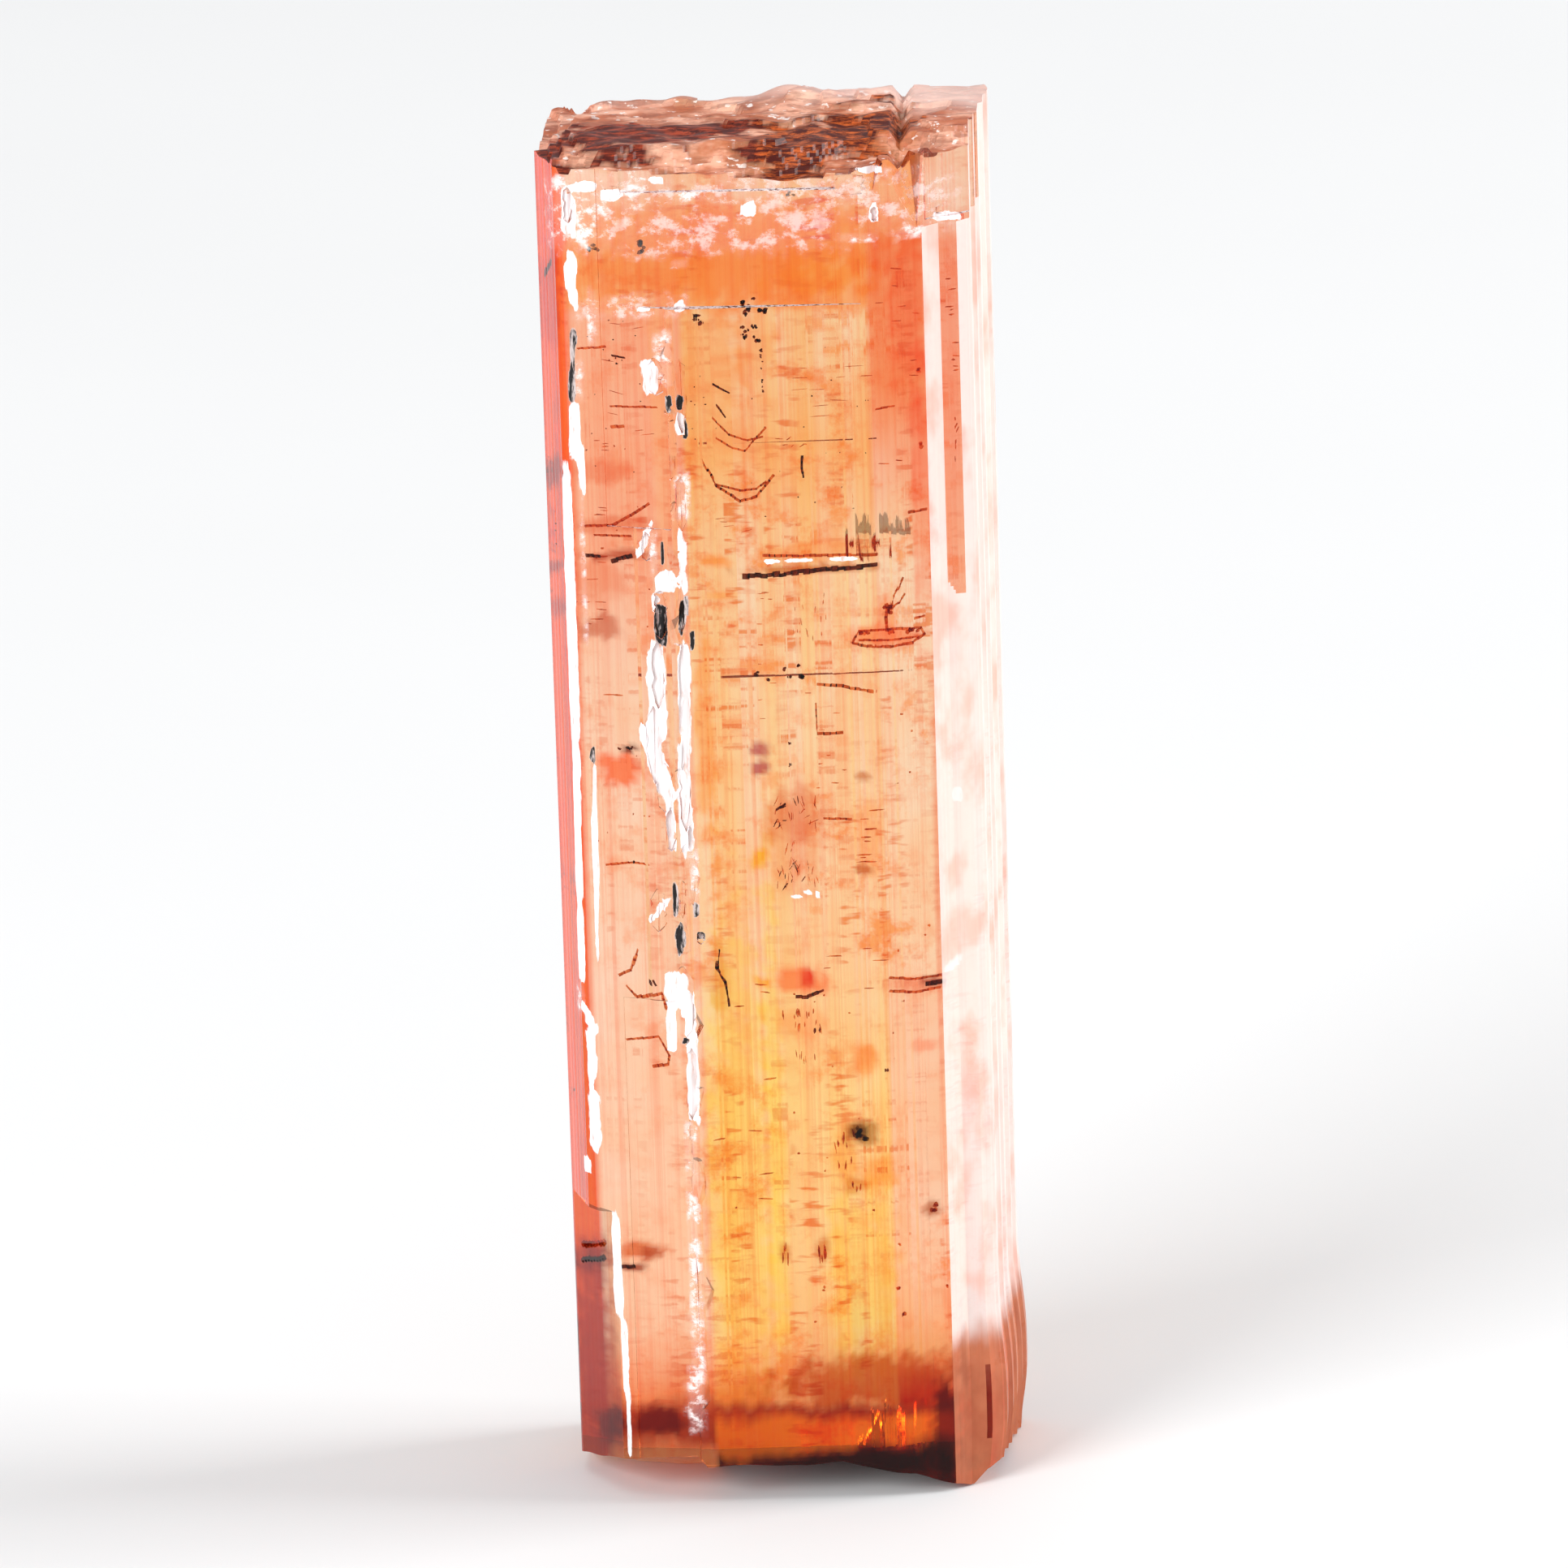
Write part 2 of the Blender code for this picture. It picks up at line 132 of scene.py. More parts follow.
# Angular pieces broken off the edges: the corners of what is missing, in millimetres
BREAKS = {
    "top_groove": ((2.7, -4.9, 46.8), (5.5, -4.4, 46.8), (4.5, -2.3, 46.8), (4.2, -4.2, 44.0),
                   (4.8, -4.1, 42.9)),
    "top_facet": ((2.2, -4.8, 46.9), (4.3, -4.9, 46.9), (3.7, -2.9, 46.7), (3.3, -4.4, 44.2)),
    "top_left_corner": ((-8.3, -2.2, 46.8), (-6.3, -3.9, 46.8), (-7.0, -1.6, 46.4), (-7.3, -2.3, 44.4)),
    "top_back_left": ((-7.6, 4.6, 47.0), (-4.4, 4.9, 47.0), (-6.0, 3.0, 46.6), (-6.3, 4.3, 43.6)),
    "back_edge": ((1.6, 4.9, 30.6), (3.4, 4.8, 33.4), (2.6, 3.6, 31.9), (3.0, 4.9, 28.8), (4.6, 4.6, 31.4)),
    "right_edge": ((8.0, 2.4, 34.6), (7.9, 3.6, 36.0), (7.0, 3.0, 34.4), (7.9, 3.3, 31.7)),
    "base_back": ((0.6, 5.0, -0.4), (4.6, 5.0, -0.4), (2.4, 3.3, -0.6), (2.8, 4.5, 2.3)),
    "base_left": ((-8.2, 1.2, -0.4), (-8.0, 3.9, -0.4), (-6.6, 2.5, -0.5), (-7.7, 2.5, 2.0)),
}

# Chips along the ragged edge at the left of the broad front face: height and half length
RAGGED_CHIPS = (
    (39.3, 1.0), (37.4, 0.7), (35.7, 0.8), (34.1, 0.6), (32.2, 1.1), (30.1, 0.8), (27.2, 1.4),
    (24.9, 0.8), (21.7, 1.5), (19.6, 0.8), (16.6, 1.2), (13.9, 0.8), (11.2, 1.4), (7.4, 1.0), (4.1, 1.2),
)
RAGGED_CENTRE = Vector((-3.42, -4.5))
RAGGED_RADII = Vector((0.44, 0.42))
RAGGED_SWAY = 0.14
RAGGED_SWAY_RATE = 7.0
CHIP_UNEVENNESS = 0.45
CHIP_LUMPS = 1.7

# Broken top: the height of its front shelf, the rise behind the shelf's edge and how far back the
# rise goes on, and where that edge lies at the left and how far back it bends towards the right
TOP_FRONT = 45.3 * MM
TOP_RISE = 0.55 * MM
TOP_RISE_RUN = 0.55 * MM
SHELF_EDGE = -3.3 * MM
SHELF_BEND = 0.9 * MM
SHELF_BEND_SPAN = (0.2 * MM, 3.6 * MM)

# The top climbs a little to the right and falls at the left, in thin terraces with one low peak
TOP_RIGHT_RISE = 0.25 * MM
TOP_RIGHT_SPAN = (1.6 * MM, 4.4 * MM)
TOP_LEFT_FALL = 0.35 * MM
TOP_LEFT_SPAN = (6.1 * MM, 7.3 * MM)
TOP_TERRACE = 0.19 * MM
TOP_PEAK = 0.5 * MM
TOP_PEAK_PLACE = Vector((0.9, 3.6)) * MM
TOP_PEAK_SPREAD = 1.1 * MM

# The notch that parts the top's right-hand block from the rest
NOTCH_X = 4.6 * MM
NOTCH_LEAN = 0.05
NOTCH_HALF_WIDTH = 0.34 * MM
NOTCH_DEPTH = 0.45 * MM

# Unevenness of the breaks: its height, how much longer its lumps are along X, and their size
SHELF_WANDER = dict(height=0.5 * MM, stretch=1.0, size=1.4 * MM, seed=2.3)
TOP_SWELLS = dict(height=0.45 * MM, stretch=2.2, size=2.3 * MM, seed=3.7)
TOP_GRAIN = dict(height=0.15 * MM, stretch=1.8, size=0.6 * MM, seed=9.1)
BASE_GRAIN = dict(height=0.09 * MM, stretch=1.5, size=0.8 * MM, seed=5.3)

# Broken base: the lift of its front edge above the resting plane at some places along X, and how
# far behind the front the break runs out there, in millimetres. It falls off in a curve to just
# below the resting plane.
BASE_LIFT = ((-7.6, 1.35), (-6.2, 1.45), (-3.6, 1.62), (-3.3, 1.28), (0.0, 1.23), (1.2, 1.35),
             (2.4, 1.03), (3.6, 0.77), (4.9, 0.3), (5.5, 0.05), (6.0, 0.6), (6.5, 0.9), (7.6, 0.8))
BASE_RUN_OUT = ((-7.6, 6.2), (-5.6, 4.2), (-4.0, 3.9), (5.2, 3.9), (5.9, 6.0), (7.6, 6.0))
BASE_CURVE = 1.5
BASE_SINK = 0.08 * MM

# The lower right side swells out: how far, and the heights between which it rises and fades
SWELL = 0.24 * MM
SWELL_FOOT = 2.2 * MM
SWELL_CROWN = (3.2 * MM, 6.6 * MM)
SWELL_SIDE = (5.0 * MM, 6.9 * MM)
SWELL_LEVELS = 14

# Finishes of the front, with painted highlights and painted shade: what shows, its middle along X
# and up, its half width and half height, and how far it leans sideways for each millimetre up.
# Millimetres, as seen from the front; later rows lie over earlier ones. White and line rows are
# painted highlights of the lamps on edges, chips and ledges; dark rows are painted shade.
FINISHES_AND_PAINTED_LIGHT = (
    ("cloudy", -1.0, 44.7, 5.0, 0.6, 0.0), ("cloudy", -1.5, 43.4, 3.6, 0.7, 0.0),
    ("cloudy", -4.6, 41.0, 1.6, 0.35, 0.0), ("cloudy", 4.3, 44.3, 1.6, 1.0, 0.0),
    ("milky", -6.15, 44.3, 0.85, 1.25, 0.0), ("milky", -5.0, 45.1, 1.5, 0.4, 0.0),
    ("white", -6.45, 44.2, 0.24, 0.7, 0.0), ("white", -6.0, 45.05, 0.45, 0.16, 0.0),
    ("white", -6.42, 42.0, 0.17, 0.95, 0.0), ("milky", -5.83, 40.85, 0.1, 0.8, 0.0),
    ("milky", -6.3, 38.6, 0.13, 0.6, 0.0), ("dark", -6.49, 39.0, 0.11, 1.35, 0.05),
    ("line", -6.47, 36.9, 0.17, 0.95, 0.0), ("white", -6.33, 35.6, 0.13, 0.85, 0.0),
    ("line", -6.82, 31.0, 0.16, 4.8, 0.0), ("milky", -6.4, 32.4, 0.06, 2.4, 0.0),
    ("line", -6.86, 23.5, 0.12, 2.75, 0.01), ("line", -6.9, 19.4, 0.11, 1.25, 0.0),
    ("milky", -6.97, 17.6, 0.12, 0.5, 0.0), ("white", -6.72, 16.9, 0.12, 0.5, -0.4),
    ("white", -6.65, 15.55, 0.14, 0.95, 0.0), ("white", -6.63, 13.35, 0.14, 1.1, 0.0),
    ("white", -6.98, 11.8, 0.09, 0.28, 0.0), ("line", -6.08, 8.35, 0.16, 1.8, -0.03),
    ("line", -5.95, 5.1, 0.09, 1.25, 0.0), ("line", -5.9, 2.8, 0.07, 1.2, 0.0),
    ("line", -6.3, 22.6, 0.08, 3.5, 0.02), ("dark", -6.27, 25.95, 0.08, 0.3, 0.0),
    ("milky", -3.55, 39.2, 0.22, 0.8, 0.0), ("white", -4.0, 38.6, 0.25, 0.55, -0.1),
    ("dark", -3.4, 37.7, 0.07, 0.32, 0.0), ("dark", -3.05, 37.7, 0.09, 0.26, 0.0),
    ("white", -3.05, 37.0, 0.15, 0.38, 0.0), ("dark", -2.86, 36.8, 0.06, 0.36, 0.0),
    ("milky", -3.05, 34.7, 0.18, 0.75, 0.0), ("white", -4.34, 33.15, 0.12, 0.6, 0.4),
    ("milky", -4.1, 32.7, 0.09, 0.75, 0.0), ("white", -3.7, 31.7, 0.34, 0.34, 0.0),
    ("white", -3.15, 32.3, 0.09, 1.0, 0.0), ("dark", -3.75, 32.7, 0.07, 0.4, 0.0),
    ("dark", -3.0, 32.3, 0.06, 0.95, 0.0), ("white", -4.06, 30.9, 0.13, 0.4, 0.0),
    ("dark", -3.9, 30.2, 0.2, 0.7, 0.0), ("dark", -3.2, 30.45, 0.11, 0.65, 0.08),
    ("dark", -2.9, 29.7, 0.08, 0.32, 0.0), ("white", -4.1, 27.9, 0.28, 1.6, 0.0),
    ("white", -3.22, 27.6, 0.18, 2.1, 0.0), ("white", -4.15, 25.5, 0.28, 1.3, -0.28),
    ("white", -3.3, 24.0, 0.19, 2.0, -0.03), ("white", -3.8, 23.4, 0.13, 0.85, -0.05),
    ("milky", -3.1, 21.6, 0.12, 0.9, 0.0), ("white", -4.27, 20.55, 0.14, 0.42, 0.75),
    ("dark", -3.75, 20.85, 0.1, 0.55, 0.0), ("dark", -3.62, 19.55, 0.14, 0.5, 0.0),
    ("dark", -3.1, 20.5, 0.06, 0.25, 0.0), ("dark", -2.95, 19.62, 0.12, 0.16, 0.0),
    ("white", -3.8, 17.8, 0.34, 0.62, 0.0), ("white", -4.0, 16.4, 0.14, 0.8, 0.0),
    ("white", -3.4, 16.7, 0.2, 0.9, 0.0), ("dark", -3.5, 16.0, 0.14, 0.12, 0.0),
    ("white", -3.36, 14.5, 0.19, 1.4, 0.0), ("milky", -3.48, 12.0, 0.15, 1.1, 0.0),
    ("milky", -3.5, 9.0, 0.13, 2.1, 0.0), ("milky", -3.5, 6.3, 0.19, 1.9, 0.0),
    ("milky", -3.62, 3.5, 0.25, 1.0, 0.0), ("white", -0.6, 44.1, 0.27, 0.24, 0.0),
    ("white", -5.0, 44.75, 0.36, 0.17, 0.0), ("white", -3.6, 45.2, 0.22, 0.13, 0.0),
    ("milky", -4.5, 44.2, 0.24, 0.12, 0.0), ("milky", -2.5, 44.6, 0.4, 0.18, 0.0),
    ("milky", -2.95, 42.4, 0.2, 0.12, 0.0), ("white", -2.92, 40.95, 0.16, 0.2, 0.0),
    ("white", -4.1, 40.9, 0.18, 0.1, 0.0), ("white", 1.1, 45.25, 0.4, 0.13, 0.0),
    ("white", 3.35, 45.3, 0.4, 0.13, -0.5), ("white", 3.4, 43.85, 0.12, 0.32, 0.0),
    ("milky", 2.8, 43.05, 0.6, 0.12, 0.0), ("milky", 4.6, 43.2, 0.45, 0.15, 0.0),
    ("white", 5.75, 43.7, 0.44, 0.14, 0.0), ("line", -0.27, 32.25, 0.22, 0.075, 0.0),
    ("line", 0.65, 32.27, 0.45, 0.07, 0.0), ("line", 2.1, 32.27, 0.45, 0.075, 0.0),
    ("line", 0.25, 20.9, 0.14, 0.07, 0.0), ("line", 0.62, 21.0, 0.1, 0.1, 0.0),
    ("line", 0.9, 20.95, 0.06, 0.12, 0.0), ("line", -0.35, 20.8, 0.06, 0.07, 0.0),
    ("white", 5.62, 24.2, 0.15, 0.24, 0.0), ("white", 5.3, 18.4, 0.17, 0.26, 0.8),
)

# Colour stains of the front, and painted shade along the base, where the darkest rows lie below
# about 4 mm: middle along X and up, half width and half height, and what they leave of the light,
# again in millimetres as seen from the front
STAINS_AND_BASE_SHADE = (
    ((-1.9, 11.5), (0.95, 8.5), (1.0, 0.98, 0.62)), ((2.0, 7.5), (1.0, 3.0), (1.0, 0.95, 0.6)),
    ((0.0, 8.0), (0.45, 5.0), (1.0, 0.9, 0.95)), ((-0.7, 13.0), (0.3, 9.0), (1.0, 0.98, 0.55)),
    ((-1.3, 42.7), (5.0, 1.8), (1.0, 0.7, 0.45)), ((1.6, 41.8), (1.6, 0.6), (1.0, 0.95, 0.62)),
    ((-5.35, 25.4), (0.75, 0.55), (1.0, 0.36, 0.2)), ((-5.1, 26.1), (0.32, 0.12), (0.3, 0.14, 0.1)),
    ((-6.9, 8.6), (0.65, 0.5), (0.5, 0.2, 0.12)), ((-5.2, 8.8), (0.7, 0.26), (0.8, 0.4, 0.24)),
    ((-4.9, 8.65), (0.32, 0.24), (0.7, 0.4, 0.3)), ((-5.55, 8.2), (0.35, 0.15), (0.45, 0.2, 0.15)),
    ((-6.9, 4.7), (0.7, 3.5), (0.66, 0.4, 0.38)), ((-4.95, 2.8), (0.85, 0.5), (0.42, 0.1, 0.06)),
    ((-6.5, 2.7), (0.45, 0.55), (0.42, 0.1, 0.06)), ((-5.1, 32.65), (1.05, 0.17), (0.62, 0.3, 0.22)),
    ((-5.2, 33.7), (1.2, 0.25), (0.9, 0.6, 0.5)), ((-5.9, 30.3), (0.65, 0.4), (0.75, 0.45, 0.38)),
    ((-5.9, 31.9), (0.8, 1.0), (0.95, 0.7, 0.62)), ((-5.6, 35.5), (0.9, 0.35), (0.95, 0.7, 0.62)),
    ((-7.25, 35.6), (0.3, 0.5), (0.45, 0.22, 0.16)), ((-7.25, 32.4), (0.35, 0.2), (0.5, 0.25, 0.2)),
    ((-7.2, 31.0), (0.3, 0.3), (0.6, 0.35, 0.25)), ((-7.2, 41.5), (0.35, 1.5), (0.8, 0.5, 0.35)),
    ((3.45, 29.62), (1.2, 0.35), (1.0, 0.5, 0.35)), ((3.45, 30.3), (0.28, 0.7), (1.0, 0.6, 0.42)),
    ((0.2, 18.0), (0.95, 0.45), (1.0, 0.46, 0.32)), ((0.55, 18.1), (0.2, 0.36), (0.85, 0.2, 0.15)),
    ((-0.95, 17.95), (0.3, 0.22), (1.0, 0.72, 0.25)), ((0.25, 22.7), (0.85, 1.7), (0.96, 0.72, 0.66)),
    ((0.25, 23.6), (0.85, 0.75), (0.92, 0.68, 0.6)), ((-0.95, 22.2), (0.3, 0.38), (1.0, 0.76, 0.12)),
    ((-0.85, 25.95), (0.3, 0.27), (0.6, 0.25, 0.32)), ((-0.85, 25.3), (0.3, 0.22), (0.6, 0.25, 0.32)),
    ((2.6, 22.7), (0.45, 1.4), (1.0, 0.74, 0.55)), ((2.4, 21.7), (0.28, 0.17), (0.7, 0.4, 0.25)),
    ((2.5, 24.9), (0.28, 0.15), (0.72, 0.42, 0.28)), ((0.2, 16.5), (0.85, 0.5), (1.0, 0.76, 0.64)),
    ((2.3, 15.2), (0.36, 0.58), (1.0, 0.6, 0.35)), ((4.0, 17.7), (1.0, 0.25), (0.95, 0.62, 0.55)),
    ((4.65, 17.8), (0.35, 0.16), (0.5, 0.2, 0.15)), ((2.2, 12.55), (0.5, 0.45), (0.6, 0.45, 0.28)),
    ((2.05, 12.6), (0.24, 0.27), (0.3, 0.25, 0.15)), ((1.6, 11.8), (0.4, 1.0), (1.0, 0.76, 0.52)),
    ((2.6, 11.4), (0.6, 0.5), (1.0, 0.72, 0.46)), ((1.85, 10.8), (0.28, 0.32), (0.85, 0.6, 0.35)),
    ((4.4, 9.95), (0.28, 0.28), (0.6, 0.35, 0.25)), ((-0.52, 8.6), (0.14, 0.42), (0.82, 0.5, 0.35)),
    ((0.7, 8.6), (0.2, 0.52), (0.78, 0.42, 0.25)), ((1.2, 32.0), (2.0, 0.14), (0.7, 0.4, 0.22)),
    ((1.4, 32.6), (1.9, 0.32), (1.0, 0.76, 0.56)), ((-2.1, 32.35), (0.55, 0.2), (1.0, 0.6, 0.3)),
    ((-1.9, 31.2), (0.5, 0.14), (1.0, 0.76, 0.5)), ((4.4, 40.3), (0.6, 2.6), (1.0, 0.72, 0.66)),
    ((4.7, 34.5), (0.33, 4.5), (1.0, 0.66, 0.6)), ((4.3, 15.6), (0.35, 0.25), (1.0, 0.66, 0.58)),
    ((2.4, 3.95), (2.8, 0.95), (0.72, 0.34, 0.16)), ((-1.9, 3.7), (1.4, 0.8), (0.92, 0.66, 0.4)),
    ((4.7, 2.5), (0.5, 1.2), (0.3, 0.07, 0.05)), ((2.4, 1.05), (2.9, 0.42), (0.3, 0.06, 0.03)),
    ((5.3, 4.6), (0.14, 1.6), (0.4, 0.25, 0.2)), ((-2.0, 39.0), (1.0, 1.7), (1.0, 0.82, 0.66)),
    ((-0.6, 39.4), (0.6, 1.4), (1.0, 0.8, 0.62)), ((-2.6, 26.5), (0.3, 3.0), (1.0, 0.72, 0.45)),
    ((-2.4, 18.1), (0.3, 1.1), (0.92, 0.74, 0.45)), ((4.93, 22.0), (0.12, 6.0), (0.95, 0.7, 0.64)),
)

# Groups of grains inside: colour, middle along X and up, half width and half height, how many, and
# how big. Millimetres.
GRAINS = (
    ("dark", -0.83, 40.8, 0.13, 0.22, 8, 0.11), ("dark", -0.3, 40.7, 0.15, 0.06, 5, 0.09),
    ("dark", -0.57, 41.1, 0.06, 0.03, 2, 0.06), ("dark", -0.93, 40.0, 0.10, 0.22, 6, 0.07),
    ("dark", -0.6, 40.15, 0.22, 0.08, 5, 0.06), ("dark", -0.5, 39.8, 0.12, 0.12, 4, 0.07),
    ("dark", -2.4, 40.5, 0.11, 0.13, 6, 0.09), ("dark", -0.36, 38.6, 0.03, 0.8, 9, 0.045),
    ("dark", -0.36, 39.35, 0.03, 0.12, 3, 0.07), ("green", -4.15, 43.0, 0.12, 0.22, 9, 0.11),
    ("green", -5.6, 43.0, 0.2, 0.12, 8, 0.09), ("green", 0.75, 44.5, 0.12, 0.12, 4, 0.07),
    ("dark", -0.85, 28.5, 0.06, 0.06, 3, 0.08), ("dark", -0.45, 28.3, 0.02, 0.02, 1, 0.08),
    ("dark", 0.05, 28.6, 0.03, 0.08, 2, 0.07), ("dark", 0.27, 28.35, 0.02, 0.02, 1, 0.08),
    ("dark", 0.5, 28.7, 0.03, 0.05, 2, 0.07), ("dark", 0.62, 28.35, 0.05, 0.04, 3, 0.1),
    ("dark", -5.1, 26.1, 0.27, 0.04, 8, 0.06), ("green", 2.1, 12.6, 0.2, 0.22, 9, 0.1),
    ("dark", 2.05, 12.6, 0.1, 0.12, 4, 0.1), ("dark", -7.2, 14.3, 0.03, 0.03, 2, 0.09),
    ("red", 3.2, 8.75, 0.04, 0.15, 2, 0.08), ("red", 3.1, 7.2, 0.03, 0.03, 2, 0.08),
    ("red", 3.3, 6.3, 0.03, 0.06, 2, 0.08), ("red", 0.75, 7.25, 0.03, 0.08, 2, 0.08),
    ("red", 4.75, 7.1, 0.02, 0.15, 2, 0.07), ("dark", 3.0, 14.8, 0.02, 0.02, 1, 0.07),
    ("red", 4.4, 9.95, 0.12, 0.12, 5, 0.1), ("dark", -4.95, 22.2, 0.04, 0.03, 2, 0.07),
    ("red", 2.65, 29.8, 0.2, 0.06, 6, 0.08), ("red", 3.45, 29.8, 0.15, 0.06, 5, 0.08),
    ("red", 4.2, 29.82, 0.2, 0.06, 6, 0.08), ("red", 3.45, 30.55, 0.12, 0.12, 5, 0.1),
    ("dark", 0.15, 26.1, 0.03, 0.03, 2, 0.06), ("dark", 0.15, 25.4, 0.02, 0.12, 3, 0.05),
    ("red", 4.65, 36.1, 0.05, 0.1, 4, 0.08), ("red", 4.7, 38.6, 0.1, 0.06, 3, 0.08),
    ("dark", -2.3, 37.5, 0.5, 1.2, 9, 0.03), ("dark", -5.2, 38.0, 1.2, 3.0, 16, 0.03),
    ("dark", 1.0, 37.0, 2.0, 3.2, 18, 0.03), ("red", -5.0, 29.0, 1.3, 8.0, 16, 0.04),
    ("red", 1.0, 12.0, 3.4, 6.0, 14, 0.05), ("red", 3.9, 22.0, 0.7, 9.0, 10, 0.05),
    ("dark", -4.99, 39.2, 0.25, 0.1, 5, 0.04),
)

# Groups of streaks inside: colour, middle along X and up, half width and half height, how many,
# their length and thickness, and their slope and how much it varies, in degrees
STREAKS = (
    ("red", 0.27, 23.7, 0.7, 0.5, 16, 0.4, 0.03, 60, 60),
    ("dark", 0.27, 23.7, 0.7, 0.5, 8, 0.3, 0.03, 60, 60),
    ("red", 0.27, 22.0, 0.72, 0.8, 18, 0.45, 0.03, 90, 25),
    ("dark", 0.3, 21.6, 0.6, 0.4, 9, 0.4, 0.03, 80, 35),
    ("red", -5.7, 35.2, 0.35, 1.4, 8, 0.45, 0.035, 0, 6), ("red", -5.9, 31.5, 0.4, 1.6, 9, 0.5, 0.04, 0, 6),
    ("red", -5.6, 27.9, 0.4, 0.3, 2, 0.5, 0.04, 0, 6), ("dark", -7.2, 33.5, 0.12, 2.6, 9, 0.25, 0.04, 0, 5),
    ("red", -0.55, 29.5, 0.25, 2.6, 10, 0.28, 0.03, 0, 6),
    ("red", 0.9, 30.3, 0.6, 0.8, 13, 0.3, 0.025, 90, 10),
    ("red", 2.65, 22.8, 0.25, 1.1, 10, 0.5, 0.05, 0, 4),
    ("red", 0.3, 16.5, 0.65, 0.4, 13, 0.35, 0.045, 90, 12),
    ("dark", 0.75, 16.3, 0.1, 0.15, 3, 0.3, 0.05, 90, 8),
    ("red", 0.25, 15.4, 0.45, 0.2, 6, 0.3, 0.03, 90, 8), ("red", 1.6, 12.0, 0.35, 0.7, 9, 0.5, 0.05, 90, 8),
    ("red", 1.9, 10.8, 0.15, 0.2, 4, 0.4, 0.05, 90, 10), ("red", -0.5, 8.6, 0.08, 0.3, 4, 0.5, 0.05, 90, 5),
    ("red", 0.7, 8.6, 0.12, 0.3, 6, 0.6, 0.05, 90, 5), ("red", 5.8, 40.3, 0.12, 1.8, 10, 0.3, 0.05, 0, 10),
    ("red", 5.8, 36.3, 0.1, 1.0, 6, 0.3, 0.05, 80, 20),
    ("red", 0.5, 36.3, 0.5, 0.15, 7, 0.25, 0.03, 20, 30), ("red", 1.8, 38.0, 1.2, 0.9, 10, 0.6, 0.02, 0, 6),
    ("red", -1.6, 33.4, 0.8, 0.5, 4, 0.4, 0.02, 10, 20),
    ("red", -4.4, 38.6, 0.9, 2.2, 10, 0.5, 0.02, 0, 25), ("red", 1.3, 26.0, 0.7, 3.0, 9, 0.3, 0.03, 0, 5),
    ("red", 2.0, 18.5, 0.9, 1.0, 5, 0.5, 0.04, 0, 5), ("red", -1.7, 14.0, 1.0, 4.0, 9, 0.5, 0.05, 0, 10),
    ("red", 3.9, 38.5, 0.8, 3.5, 10, 0.4, 0.03, 0, 8),
)

